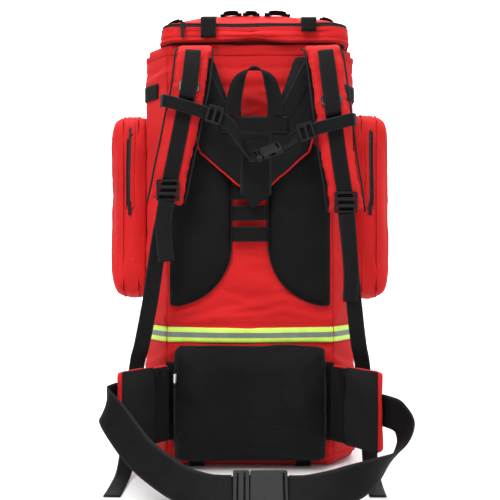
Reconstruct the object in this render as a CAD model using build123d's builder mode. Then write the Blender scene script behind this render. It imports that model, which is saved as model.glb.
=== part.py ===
"""Large trauma backpack: framed main bag, lid, side and front pockets, padded harness and hip belt.

Frame: +Z up, -Y towards the wearer (the harness side), +X to the viewer's right when looking at the
harness. The origin is the centre of the base, on the surface that the pack stands on. Millimetres.
"""

import os
from math import cos, radians, sin

from build123d import *

os.makedirs("parts", exist_ok=True)

# ---------------------------------------------------------------- driving dimensions
BACK_Y = -125.0  # harness-side face of the back panel
FRONT_Y = 125.0  # face of the front panel
SIDE_HALF = 178.0  # half width of the main bag
BACK_HALF = 137.0  # half width of the flat back panel, where its side seams run
BODY_TOP = 685.0
WALL = 6.0  # foam-backed fabric wall
BASE = 6.0  # reinforced base
FIT = 0.4  # gap between neighbouring soft pieces

WEB = 25.0  # harness webbing
STERNUM_WEB = 20.0
BELT_WEB = 50.0
WEB_T = 2.0  # webbing thickness

UPPER_X = 7.0  # the yoke, handle and lid sit a little to one side
PAD_HALF_GAP = 29.0  # half of the channel between the two back pads
PAD_OUTER = 132.0
PAD_BOTTOM = 265.0
PAD_ARC = PAD_OUTER - PAD_HALF_GAP
PAD_T = 15.0

RUNG_PITCH = 34.0  # torso ladder
RUNG_FIRST = 384.0
RUNG_COUNT = 5

STRAP_W = 63.0  # padded shoulder strap
STRAP_T = 12.0

WING_LOW, WING_HIGH, WING_T = 46.0, 174.0, 18.0
LUMBAR_HALF, LUMBAR_LOW, LUMBAR_HIGH = 121.0, 18.0, 202.0
LUMBAR_BACK, LUMBAR_T = -146.0, 24.0

POCKET_Y, POCKET_Z = 5.0, 434.0  # middle of a side pocket
POCKET_LEN, POCKET_TALL, POCKET_DEEP = 150.0, 316.0, 60.0
POCKET_R = 30.0
ZIP_LOW = 430.0

LID_LOW, LID_TOP = 699.0, 755.0
LID_W, LID_D, LID_Y, LID_R = 318.0, 264.0, -2.0, 35.0
LID_AXIS_Y = -141.0
LID_STRAP_X = (-68.0, 96.0)

BAND_LOW, BAND_HIGH = 206.5, 231.5  # reflective tape

SIDES = (("left", -1), ("right", 1))


def save(part, name):
    """Labels one finished piece and writes it as its own STEP file."""
    part.label = name
    export_step(part, f"parts/{name}.step")


def plan_outline(grow=0.0):
    """Adds the bag's plan outline to the current sketch, grown outwards by grow."""
    half = [
        (BACK_HALF, BACK_Y),
        (SIDE_HALF, -70.0),
        (SIDE_HALF, 80.0),
        (150.0, FRONT_Y),
    ]
    ring = half + [(-x, y) for x, y in reversed(half)]
    with BuildLine() as edge:
        Polyline(*ring, close=True)
    if grow:
        face = make_face(edge.edges(), mode=Mode.PRIVATE)
        offset(face, amount=grow, kind=Kind.INTERSECTION)
    else:
        make_face(edge.edges())


def plan_ring(outer, inner, low, high):
    """A closed wall in the shape of the plan outline, as a private part."""
    with BuildPart(mode=Mode.PRIVATE) as ring:
        with BuildSketch(Plane.XY.offset(low)):
            plan_outline(outer)
        extrude(amount=high - low)
        with BuildSketch(Plane.XY.offset(low)):
            plan_outline(inner)
        extrude(amount=high - low, mode=Mode.SUBTRACT)
    return ring.part


def ribbon(stations, width, thickness):
    """A flat band lofted straight from station to station: (point, direction of its width)."""
    points = [Vector(*p) for p, _ in stations]
    sections = []
    for i, (_, across) in enumerate(stations):
        ahead = points[min(i + 1, len(points) - 1)]
        behind = points[max(i - 1, 0)]
        run = (ahead - behind).normalized()
        level = Vector(*across)
        level = level - run * level.dot(run)
        plane = Plane(origin=points[i], x_dir=level, z_dir=run)
        with BuildSketch(plane) as section:
            Rectangle(width, thickness)
        sections.append(section.sketch)
    for start, end in zip(sections, sections[1:]):
        loft([start, end], ruled=True)


def lifted(stations, amount):
    """The same stations, moved off the band's outer (harness-side) face by amount."""
    points = [Vector(*p) for p, _ in stations]
    moved = []
    for i, (_, across) in enumerate(stations):
        run = points[min(i + 1, len(points) - 1)] - points[max(i - 1, 0)]
        out = Vector(*across).cross(run).normalized()
        moved.append((tuple(points[i] - out * amount), across))
    return moved


def between(stations, z_high, z_low):
    """The part of a descending run of stations between two heights, cut at both ends."""
    kept = []
    for (a, across), (b, _) in zip(stations, stations[1:]):
        for z in (z_high, z_low):
            if a[2] > z > b[2]:
                t = (a[2] - z) / (a[2] - b[2])
                kept.append((tuple(p + t * (q - p) for p, q in zip(a, b)), across))
        if z_low < b[2] < z_high:
            kept.append((b, across))
    return sorted(kept, key=lambda s: -s[0][2])


# ---------------------------------------------------------------- plastic hardware
def buckle_sizes(web):
    """Outside width, thickness, socket length and plug length of a side-release buckle."""
    return web + 10.0, 0.12 * web + 6.0, 0.62 * web + 21.0, 0.45 * web + 14.0


def buckle_socket(plane, web):
    """Female half: mouth at the plane's origin, body along its +x, width along y."""
    wide, thick, long, plug = buckle_sizes(web)
    with BuildSketch(plane.offset(-thick / 2)) as outline:
        with Locations((long / 2, 0)):
            RectangleRounded(long, wide, 3)
    extrude(outline.sketch, amount=thick)
    chamfer(faces(Select.LAST).filter_by(plane).edges(), 0.8)
    with BuildSketch(plane.offset(-(thick - 4) / 2)) as cavity:
        with Locations((plug / 2, 0)):
            Rectangle(plug + 1, wide - 6)
    extrude(cavity.sketch, amount=thick - 4, mode=Mode.SUBTRACT)
    with BuildSketch(plane.offset(-(thick - 5) / 2)) as windows:
        with Locations((plug * 0.68, 0)):
            Rectangle(plug * 0.42, wide + 2)
    extrude(windows.sketch, amount=thick - 5, mode=Mode.SUBTRACT)
    with BuildSketch(plane.offset(-thick)) as slot:
        with Locations((long - 5.5, 0)):
            SlotOverall(web + 2, 3.6, rotation=90)
    extrude(slot.sketch, amount=2 * thick, mode=Mode.SUBTRACT)


def buckle_plug(plane, web):
    """Male half: shoulder against the mouth at the plane's origin, prongs along its +x."""
    wide, thick, long, plug = buckle_sizes(web)
    base = 0.42 * web + 2.0
    reach = plug - 1.2
    with BuildSketch(plane.offset(-thick / 2)) as shoulder:
        with Locations((-base / 2 - 0.5, 0)):
            RectangleRounded(base, wide, 2.5)
    extrude(shoulder.sketch, amount=thick)
    chamfer(faces(Select.LAST).filter_by(plane).edges(), 0.8)
    with BuildSketch(plane.offset(-thick)) as slots:
        for share in (0.3, 0.72):
            with Locations((-0.5 - base * share, 0)):
                SlotOverall(web + 2, 3.0, rotation=90)
    extrude(slots.sketch, amount=2 * thick, mode=Mode.SUBTRACT)
    with BuildSketch(plane.offset(-(thick - 6) / 2)) as prongs:
        with Locations((reach * 0.4 - 1.0, 0)):
            Rectangle(reach * 0.8 + 1.0, web * 0.14 + 1)
        for side in (-1, 1):
            outer = side * (wide / 2 - 4.0)
            inner = side * (wide / 2 - 7.2)
            with BuildLine():
                Polyline(
                    (-1, inner + side * 1.5),
                    (reach * 0.5, inner),
                    (reach * 0.5, outer),
                    (reach * 0.62, outer + side * 0.4),
                    (reach, inner - side * 1.0),
                    (reach * 0.9, inner - side * 2.6),
                    (-1, inner - side * 2.0),
                    close=True,
                )
            make_face()
    extrude(prongs.sketch, amount=thick - 6)


def slotted_frame(plane, across, along, thick, slots, slot_gap):
    """A moulded frame such as a ladder lock: slots run along the plane's x."""
    with BuildSketch(plane.offset(-thick / 2)) as outline:
        RectangleRounded(across, along, 3)
        for y in slots:
            with Locations((0, y)):
                RectangleRounded(
                    across - 7.0, slot_gap, min(1.2, slot_gap / 2.2), mode=Mode.SUBTRACT
                )
    extrude(outline.sketch, amount=thick)


# ---------------------------------------------------------------- main bag
def panels():
    """Base, back, front and side walls of the main bag, sewn edge to edge."""
    with BuildPart() as base_panel:
        with BuildSketch():
            plan_outline()
        extrude(amount=BASE)
    save(base_panel.part, "base_panel")

    wall = plan_ring(0.0, -WALL, BASE, BODY_TOP)
    middle = (BASE + BODY_TOP) / 2
    tall = BODY_TOP - BASE
    for name, y in (("back_panel", -150.0), ("front_panel", 150.0)):
        with BuildPart() as panel:
            add(wall)
            with Locations((0, y, middle)):
                Box(2 * BACK_HALF, 200.0, tall, mode=Mode.INTERSECT)
        save(panel.part, name)
    for name, side in SIDES:
        with BuildPart() as panel:
            add(wall)
            with Locations((side * (BACK_HALF + 50.0), 0, middle)):
                Box(100.0, 400.0, tall, mode=Mode.INTERSECT)
        save(panel.part, f"side_panel_{name}")

    with BuildPart() as lid_flap:  # joins the top of the back panel to the lid
        with Locations((12.0, BACK_Y + 3.0, (BODY_TOP + LID_LOW - FIT) / 2)):
            Box(140.0, 2.0, LID_LOW - FIT - BODY_TOP)
    save(lid_flap.part, "lid_flap")

    with BuildPart() as collar:  # storm collar at the mouth of the bag
        add(plan_ring(-WALL - FIT, -WALL - FIT - 2.0, 600.0, 696.0))
    save(collar.part, "collar")


def frame():
    """Stiffening behind the back panel: one plastic sheet and two aluminium stays."""
    inside = BACK_Y + WALL
    sheet_t, stay_t = 1.6, 3.0
    with BuildPart() as frame_sheet:
        with BuildSketch(Plane.XZ.offset(-(inside + FIT))):
            with Locations((0, 300.0)):
                RectangleRounded(246, 560, 20)
        extrude(amount=-sheet_t)
    save(frame_sheet.part, "frame_sheet")
    with BuildPart() as frame_stays:
        with BuildSketch(Plane.XZ.offset(-(inside + 2 * FIT + sheet_t))):
            with Locations((-70, 300.0), (70, 300.0)):
                SlotOverall(540, 20, rotation=90)
        extrude(amount=-stay_t)
    save(frame_stays.part, "frame_stays")


def tape():
    """Reflective tape sewn right round the bag."""
    with BuildPart() as reflective_band:
        add(plan_ring(FIT + 0.8, FIT, BAND_LOW, BAND_HIGH))
    save(reflective_band.part, "reflective_band")


def base_straps():
    """Two straps under the base for a mat, from the back seam to the front pocket."""
    with BuildPart() as base_strap_tabs:
        for x in (-88.0, 88.0):
            with BuildSketch(Plane.YZ.offset(x - WEB / 2)):
                with BuildLine():
                    Polyline((BACK_Y - 1.6, 0.8), (BACK_Y - 1.6, 16.0))
                trace(line_width=1.6)
            extrude(amount=WEB)
    save(base_strap_tabs.part, "base_strap_tabs")


# ---------------------------------------------------------------- back system
def back_pads():
    """Two mesh-faced back pads with a channel between them."""
    face = BACK_Y - FIT
    for name, side in SIDES:
        with BuildPart() as pad:
            with BuildSketch(Plane.XZ.offset(-face)):
                with BuildLine():
                    Line((side * PAD_HALF_GAP, PAD_BOTTOM + PAD_ARC), (side * PAD_HALF_GAP, 560))
                    Polyline(
                        (side * PAD_HALF_GAP, 560),
                        (side * 85, 560),
                        (side * PAD_OUTER, 500),
                        (side * PAD_OUTER, PAD_BOTTOM),
                    )
                    CenterArc(
                        (side * PAD_OUTER, PAD_BOTTOM + PAD_ARC),
                        PAD_ARC,
                        270 if side < 0 else 180,
                        90,
                    )
                make_face()
            extrude(amount=PAD_T)
        save(pad.part, f"back_pad_{name}")


def torso_adjuster():
    """Ladder of webbing rungs between the pads, and the pointed tongue that hangs over it."""
    with BuildPart() as torso_ladder:
        with BuildSketch(Plane.XZ.offset(-(BACK_Y - PAD_T + 1.5))):
            for i in range(RUNG_COUNT):
                with Locations((0, RUNG_FIRST + i * RUNG_PITCH)):
                    Rectangle(2 * PAD_HALF_GAP - 2 * FIT, WEB)
        extrude(amount=WEB_T)
    save(torso_ladder.part, "torso_ladder")

    with BuildPart() as torso_tongue:
        with BuildSketch(Plane.XZ.offset(155.0)):
            with BuildLine():
                Polyline(
                    (UPPER_X - BELT_WEB / 2, 547),
                    (UPPER_X + BELT_WEB / 2, 547),
                    (UPPER_X + BELT_WEB / 2, 448),
                    (UPPER_X - 2, 425),
                    (UPPER_X - BELT_WEB / 2, 448),
                    close=True,
                )
            make_face()
        extrude(amount=WEB_T)
    save(torso_tongue.part, "torso_tongue")


def yoke():
    """V-shaped padded yoke: the rear halves of both shoulder straps in one piece."""
    half = [(30, 572), (68, 672), (130, 672), (92, 516), (22, 456)]
    outline = [(UPPER_X + x, z) for x, z in half]
    outline += [(UPPER_X - x, z) for x, z in reversed(half)]
    with BuildPart() as yoke_pad:
        with BuildSketch(Plane.XZ.offset(142.0)):
            with BuildLine():
                Polyline(*outline, close=True)
            make_face()
        extrude(amount=STRAP_T)
    save(yoke_pad.part, "yoke_pad")

    with BuildPart() as handle_base:  # webbing that the handle's ends are sewn under
        with BuildSketch(Plane.XZ.offset(154.5)):
            with Locations((UPPER_X, 560.0)):
                Rectangle(94, WEB)
        extrude(amount=WEB_T)
    save(handle_base.part, "handle_base")


def handle():
    """Haul handle: flat at both sewn ends, turned on edge at the top of its loop."""
    legs = [
        ((-33, -157, 574), (1, 0, 0)),
        ((-33, -158, 596), (1, -0.1, 0)),
        ((-25, -163, 628), (0.85, -0.5, 0.1)),
        ((-9, -168, 646), (0.3, -0.95, 0)),
    ]
    rise = [((UPPER_X + x, y, z), w) for (x, y, z), w in legs]
    fall = [((UPPER_X - x, y, z), (-wx, wy, wz)) for (x, y, z), (wx, wy, wz) in reversed(legs)]
    with BuildPart() as haul_handle:
        ribbon(rise + fall, WEB, 3.0)
    save(haul_handle.part, "haul_handle")


# ---------------------------------------------------------------- shoulder harness
STRAP_DROP = [(-149, 684), (-163, 678), (-170, 655), (-176, 612), (-180, 568)]
STRAP_DROP += [(-181, 531), (-180, 495), (-177, 456)]
STRAP_X = {
    "left": [-88, -89, -91, -96, -105, -112, -120, -128, -134],
    "right": [113, 117, 121, 126, 131, 136, 141, 148, 153],
}
STRAP_END = {"left": (-174, 432), "right": (-174, 418)}
D_RING_Z = {"left": 618.0, "right": 596.0}
LIFTER_END = {"left": 594.0, "right": 566.0}
LOCK_Z = {"left": 452.0, "right": 433.0}


def strap_line(name):
    """Centre line of one shoulder strap, from its fold at the top to its lower end."""
    drop = STRAP_DROP + [STRAP_END[name]]
    return [((x, y, z), (1, 0, 0)) for x, (y, z) in zip(STRAP_X[name], drop)]


def at_height(stations, z):
    """The point of a descending centre line at height z."""
    for (a, _), (b, _) in zip(stations, stations[1:]):
        if a[2] >= z >= b[2]:
            t = (a[2] - z) / (a[2] - b[2])
            return tuple(p + t * (q - p) for p, q in zip(a, b)), Vector(*b) - Vector(*a)
    return stations[-1][0], Vector(0, 0, -1)


def harness():
    """Both padded straps, the webbing along them, D-rings, lifters and ladder locks."""
    for name, side in SIDES:
        with BuildPart() as strap:
            ribbon(strap_line(name), STRAP_W, STRAP_T)
        save(strap.part, f"shoulder_strap_{name}")

    with BuildPart() as strap_webbing:
        for name, side in SIDES:
            face = lifted(strap_line(name), STRAP_T / 2 + FIT + WEB_T / 2)
            ribbon(between(face, 640.0, LOCK_Z[name] + 19.0), WEB, WEB_T)
    save(strap_webbing.part, "strap_webbing")

    with BuildPart() as load_lifters:
        for name, side in SIDES:
            face = lifted(strap_line(name), STRAP_T / 2 + 8.6)
            ribbon(between(face, 664.0, LIFTER_END[name]), WEB, WEB_T)
    save(load_lifters.part, "load_lifters")

    with BuildPart() as d_rings:
        for name, side in SIDES:
            point, run = at_height(lifted(strap_line(name), STRAP_T / 2 + 5.0), D_RING_Z[name])
            plane = Plane(origin=point, x_dir=(1, 0, 0), z_dir=Vector(1, 0, 0).cross(run))
            d_ring(plane)
    save(d_rings.part, "d_rings")

    with BuildPart() as ladder_locks:
        for name, side in SIDES:
            point, run = at_height(lifted(strap_line(name), STRAP_T / 2 + 6.5), LOCK_Z[name])
            plane = Plane(origin=point, x_dir=(1, 0, 0), z_dir=Vector(1, 0, 0).cross(run))
            slotted_frame(plane, 36.0, 34.0, 5.0, (10.5, 0.0, -10.5), 5.5)
    save(ladder_locks.part, "ladder_locks")


def d_ring(plane):
    """Wire D-ring, straight bar up, lying in the given plane."""
    wide, deep, wire = 33.0, 22.0, 2.0
    top = deep / 2
    with BuildSketch(plane.offset(-wire)) as ring:
        with BuildLine():
            Polyline(
                (-wide / 2, top),
                (wide / 2, top),
                (wide / 2, -top * 0.3),
                (wide / 4, -top),
                (-wide / 4, -top),
                (-wide / 2, -top * 0.3),
                close=True,
            )
        make_face()
        fillet(vertices(), 4)
        offset(amount=-2 * wire, mode=Mode.SUBTRACT)
    extrude(ring.sketch, amount=2 * wire)
    chamfer(faces(Select.LAST).filter_by(plane).edges(), 0.8)


TAILS = {
    "left": [(-131, -194.5, 434), (-135, -197, 405), (-134, -200, 375), (-129, -207, 340)],
    "right": [(152, -194, 414), (155, -195, 370), (158, -195, 320), (157, -193, 277)],
}
LOWER_RUNS = {
    "left": [
        (-132, -182.5, 429),
        (-143, -184, 374),
        (-157, -184, 279),
        (-172, -172, 208),
        (-182, -153, 176),
        (-190, -154, 110),
        (-195, -160, 48),
        (-197, -190, 12),
        (-199, -235, 3),
        (-200, -287, 2.0),
    ],
    "right": [
        (152, -182.5, 408),
        (158, -184, 347),
        (165, -184, 264),
        (173, -172, 208),
        (181, -153, 176),
        (188, -154, 110),
        (191, -160, 48),
        (190, -190, 12),
        (188, -235, 3),
        (185, -287, 2.0),
    ],
}


def lower_webbing():
    """Adjusting webbing of each strap: long run down to the floor and short tail in front."""
    for name, side in SIDES:
        with BuildPart() as webbing:
            ribbon([(p, (1, 0, 0)) for p in LOWER_RUNS[name]], WEB, WEB_T)
            ribbon([(p, (1, 0, 0)) for p in TAILS[name]], WEB, WEB_T)
        save(webbing.part, f"lower_webbing_{name}")

    with BuildPart() as anchor_slides:
        for name, side in SIDES:
            point, run = at_height([(p, 0) for p in LOWER_RUNS[name]], 92.0)
            origin = Vector(*point) + Vector(0, 5.5, 0)
            plane = Plane(origin=origin, x_dir=(1, 0, 0), z_dir=Vector(1, 0, 0).cross(run))
            slotted_frame(plane, 35.0, 20.0, 3.6, (5.0, -5.0), 4.0)
    save(anchor_slides.part, "anchor_slides")

    with BuildPart() as anchor_tabs:
        for name, side in SIDES:
            point, _ = at_height([(p, 0) for p in LOWER_RUNS[name]], 92.0)
            near = (point[0] - side * 2, point[1] + 9.5, 92.0)
            ribbon(
                [
                    (near, (0, 0, 1)),
                    ((side * 184.5, -110.0, 92.0), (0, 0, 1)),
                    ((side * 181.5, -68.0, 92.0), (0, 0, 1)),
                    ((side * 181.0, -30.0, 92.0), (0, 0, 1)),
                ],
                WEB,
                WEB_T,
            )
    save(anchor_tabs.part, "anchor_tabs")


# ---------------------------------------------------------------- sternum strap
STERNUM = {
    "left": [
        ((-141, -183, 592), (0, 0, 1)),
        ((-132, -201, 590), (0.2, 0, 1)),
        ((-104, -204, 582), (0.26, 0, 1)),
        ((-70, -198, 572), (0.26, 0, 1)),
    ],
    "right": [
        ((167, -184, 563), (0, 0, 1)),
        ((158, -201, 561), (-0.2, 0, 1)),
        ((128, -204, 553), (-0.26, 0, 1)),
        ((100, -199, 546), (-0.26, 0, 1)),
    ],
}
STERNUM_BUCKLE = (18.0, -190.0, 508.0)  # mouth of the buckle
STERNUM_AXIS = (0.93, 0.0, 0.36)  # from the plug half to the socket half
STERNUM_ACROSS = (0.2, -0.86, -0.5)
STERNUM_SLIDE = {"left": (-55, -196, 568), "right": (87, -196.5, 542)}


def sternum():
    """Chest strap: two webbing halves, two slides and a small side-release buckle."""
    mouth = Vector(*STERNUM_BUCKLE)
    axis = Vector(*STERNUM_AXIS).normalized()
    plane = Plane(origin=mouth, x_dir=axis, z_dir=axis.cross(Vector(*STERNUM_ACROSS)))
    wide, thick, long, plug = buckle_sizes(STERNUM_WEB)
    base = 0.42 * STERNUM_WEB + 2.0

    with BuildPart() as sternum_socket:
        buckle_socket(plane, STERNUM_WEB)
    save(sternum_socket.part, "sternum_socket")
    with BuildPart() as sternum_plug:
        buckle_plug(plane, STERNUM_WEB)
    save(sternum_plug.part, "sternum_plug")

    ends = {"left": mouth - axis * (base + 1.5), "right": mouth + axis * (long + 0.8)}
    lead = {"left": ends["left"] - axis * 8.0, "right": ends["right"] + axis * 8.0}
    middle = {
        "left": [((-40, -195, 561), (0.3, 0.1, 1)), ((-18, -192, 534), (0.4, 0.4, 0.8))],
        "right": [((76, -195, 538), (-0.3, 0.2, 1))],
    }
    last = tuple(-Vector(*STERNUM_ACROSS))
    for name, side in SIDES:
        run = STERNUM[name] + middle[name] + [(tuple(lead[name]), last), (tuple(ends[name]), last)]
        with BuildPart() as webbing:
            ribbon(run, STERNUM_WEB, WEB_T)
        save(webbing.part, f"sternum_webbing_{name}")

    with BuildPart() as sternum_slides:
        for name, side in SIDES:
            origin = Vector(*STERNUM_SLIDE[name]) + Vector(0, -6.2, 0)
            tilt = Vector(cos(radians(17)), 0, -side * -sin(radians(17)))
            slide_plane = Plane(origin=origin, x_dir=(-tilt.Z, 0, tilt.X), z_dir=(0, -1, 0))
            slotted_frame(slide_plane, 28.0, 25.0, 3.6, (5.5, -5.5), 7.0)
    save(sternum_slides.part, "sternum_slides")


# ---------------------------------------------------------------- hip belt
WING_ROOT, WING_TIP = (134.0, -141.0), (202.0, -224.0)
BELT_TILT = (0, 0.69, 0.72)  # the belt leans back where it stands on the floor
BELT_MOUTH = (0.0, -350.0, 27.5)
BELT_PATHS = {
    "left": [
        ((-171, -163, 130), (0, 0, 1)),
        ((-210, -217, 128), (0, 0, 1)),
        ((-216, -238, 123), (0.27, 0, 0.96)),
        ((-193, -262, 98), (0.72, 0, 0.7)),
        ((-161, -286, 66), (0.72, 0.05, 0.7)),
        ((-128, -306, 45), (0.5, 0.2, 0.82)),
        ((-95, -326, 31), (0.15, 0.5, 0.85)),
        ((-64, -343, 27.5), BELT_TILT),
        ((-40, -350, 27.5), BELT_TILT),
    ],
    "right": [
        ((171, -163, 112), (0, 0, 1)),
        ((212, -219, 110), (0, 0, 1)),
        ((226, -240, 104), (0.1, 0, 1)),
        ((229, -266, 86), (0.45, -0.35, 0.82)),
        ((208, -291, 60), (0.45, -0.5, 0.75)),
        ((170, -315, 41), (0.2, -0.1, 0.97)),
        ((130, -333, 31), (0.05, 0.4, 0.9)),
        ((92, -345, 28), BELT_TILT),
        ((70, -350, 27.5), BELT_TILT),
    ],
}


def hip_belt():
    """Lumbar pad, belt core behind it, two wings, webbing and the large buckle."""
    with BuildPart() as lumbar_pad:
        with BuildSketch(Plane.XZ.offset(-LUMBAR_BACK)):
            with Locations((0, (LUMBAR_LOW + LUMBAR_HIGH) / 2)):
                RectangleRounded(2 * LUMBAR_HALF, LUMBAR_HIGH - LUMBAR_LOW, 14)
        extrude(amount=LUMBAR_T)
        fillet(faces().sort_by(Axis.Y)[0].edges(), 8)
    save(lumbar_pad.part, "lumbar_pad")

    with BuildPart() as belt_core:
        with Locations((0, (BACK_Y - FIT + LUMBAR_BACK + FIT) / 2, (WING_LOW + WING_HIGH) / 2)):
            Box(2 * 118.0, BACK_Y - LUMBAR_BACK - 2 * FIT - 1.0, WING_HIGH - WING_LOW)
    save(belt_core.part, "belt_core")

    for name, side in SIDES:
        with BuildPart() as wing:
            with BuildSketch(Plane.XY.offset(WING_LOW)):
                with BuildLine():
                    root, tip = ((side * x, y) for x, y in (WING_ROOT, WING_TIP))
                    Line(root, tip)
                trace(line_width=WING_T)
            extrude(amount=WING_HIGH - WING_LOW)
            fillet(edges().filter_by(Axis.Z).group_by(Axis.Y)[0], 5)
        save(wing.part, f"hip_wing_{name}")

    mouth = Vector(*BELT_MOUTH)
    across = Vector(*BELT_TILT)
    plane = Plane(origin=mouth, x_dir=(1, 0, 0), z_dir=Vector(1, 0, 0).cross(across))
    wide, thick, long, plug = buckle_sizes(BELT_WEB)
    base = 0.42 * BELT_WEB + 2.0
    with BuildPart() as belt_socket:
        buckle_socket(plane, BELT_WEB)
    save(belt_socket.part, "belt_socket")
    with BuildPart() as belt_plug:
        buckle_plug(plane, BELT_WEB)
    save(belt_plug.part, "belt_plug")

    ends = {"left": -base - 1.2, "right": long + 0.6}
    for name, side in SIDES:
        last = (mouth.X + ends[name], mouth.Y, mouth.Z)
        with BuildPart() as webbing:
            ribbon(BELT_PATHS[name] + [(last, BELT_TILT)], BELT_WEB, WEB_T)
        save(webbing.part, f"belt_webbing_{name}")


# ---------------------------------------------------------------- pockets
def zip_slider(origin, away, down):
    """Slider body with its pull tab hanging from it, facing away from the zip."""
    plane = Plane(origin=origin, x_dir=Vector(*down).cross(Vector(*away)), z_dir=away)
    with BuildSketch(plane) as body:
        RectangleRounded(8, 12, 2)
    extrude(body.sketch, amount=3.2)
    with BuildSketch(plane.offset(3.2)) as pull:
        with Locations((0, 9)):
            SlotOverall(24, 5.5, rotation=90)
    extrude(pull.sketch, amount=1.8)


def side_pockets():
    """Side pockets: a rounded gusseted shell each, an over-the-top zip and a slider."""
    for name, side in SIDES:
        inner = side * (SIDE_HALF + FIT)
        with BuildPart() as pocket:
            with BuildSketch(Plane.YZ.offset(inner)):
                with Locations((POCKET_Y, POCKET_Z)):
                    RectangleRounded(POCKET_LEN, POCKET_TALL, POCKET_R)
            extrude(amount=side * POCKET_DEEP)
            outer_face = faces().sort_by(Axis.X)[-1 if side > 0 else 0]
            fillet(outer_face.edges(), 16)
            inner_face = faces().sort_by(Axis.X)[0 if side > 0 else -1]
            offset(amount=-3.0, openings=inner_face)
        save(pocket.part, f"side_pocket_{name}")

    with BuildPart() as pocket_zips:
        for name, side in SIDES:
            with BuildSketch(Plane.YZ.offset(side * 206.0 - 3.0)):
                with Locations((POCKET_Y, POCKET_Z)):
                    RectangleRounded(POCKET_LEN + 3.2, POCKET_TALL + 3.2, POCKET_R + 1.6)
                    RectangleRounded(
                        POCKET_LEN + 0.6, POCKET_TALL + 0.6, POCKET_R + 0.3, mode=Mode.SUBTRACT
                    )
                with Locations((POCKET_Y, ZIP_LOW - 150.0)):
                    Rectangle(300, 300, mode=Mode.SUBTRACT)
            extrude(amount=6.0)
    save(pocket_zips.part, "pocket_zips")

    back = POCKET_Y - POCKET_LEN / 2 - 2.0
    for name, side in SIDES:
        with BuildPart() as slider:
            zip_slider((side * 206.0, back, ZIP_LOW + 8.0), (0, -1, 0), (0, 0, -1))
        save(slider.part, f"pocket_slider_{name}")


FRONT_POCKET_W, FRONT_POCKET_LOW, FRONT_POCKET_HIGH, FRONT_POCKET_DEEP = 240.0, 60.0, 420.0, 55.0


def front_pocket():
    """Large front pocket with an over-the-top zip, and webbing rows above it."""
    middle = (FRONT_POCKET_LOW + FRONT_POCKET_HIGH) / 2
    tall = FRONT_POCKET_HIGH - FRONT_POCKET_LOW
    start = FRONT_Y + 2 * FIT + 0.8
    with BuildPart() as pocket:
        with BuildSketch(Plane.XZ.offset(-start)):
            with Locations((0, middle)):
                RectangleRounded(FRONT_POCKET_W, tall, 35)
        extrude(amount=-FRONT_POCKET_DEEP)
        fillet(faces().sort_by(Axis.Y)[-1].edges(), 16)
        offset(amount=-3.0, openings=faces().sort_by(Axis.Y)[0])
    save(pocket.part, "front_pocket")

    with BuildPart() as front_zip:
        with BuildSketch(Plane.XZ.offset(-(start + 28.0))):
            with Locations((0, middle)):
                RectangleRounded(FRONT_POCKET_W + 3.2, tall + 3.2, 36.6)
                RectangleRounded(FRONT_POCKET_W + 0.6, tall + 0.6, 35.3, mode=Mode.SUBTRACT)
            with Locations((0, 50.0)):
                Rectangle(400, 300, mode=Mode.SUBTRACT)
        extrude(amount=-6.0)
    save(front_zip.part, "front_zip")

    with BuildPart() as slider:
        side_x = FRONT_POCKET_W / 2 + 2.0
        zip_slider((side_x, start + 31.0, 210.0), (1, 0, 0), (0, 0, -1))
    save(slider.part, "front_slider")

    with BuildPart() as webbing_rows:
        with BuildSketch(Plane.XZ.offset(-(FRONT_Y + FIT))):
            for z in (450.0, 488.0, 526.0):
                with Locations((0, z)):
                    Rectangle(230, WEB)
        extrude(amount=-1.6)
    save(webbing_rows.part, "webbing_rows")


# ---------------------------------------------------------------- lid
def lid_plan(grow=0.0):
    """Adds the lid's plan outline to the current sketch."""
    with Locations((UPPER_X, LID_Y)):
        RectangleRounded(LID_W + 2 * grow, LID_D + 2 * grow, LID_R + grow)


LID_TANGENT_POINT = (143.0, 600.0)  # Y and Z of the middle of each lid buckle's plug travel


def lid_buckle():
    """Mouth of a lid buckle at X = 0 and the direction that its plug leaves it in."""
    y, z = LID_TANGENT_POINT
    leave = Vector(0, LID_LOW - z, y - LID_AXIS_Y).normalized()
    return Vector(0, y, z) + leave * 12.0, leave


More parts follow.
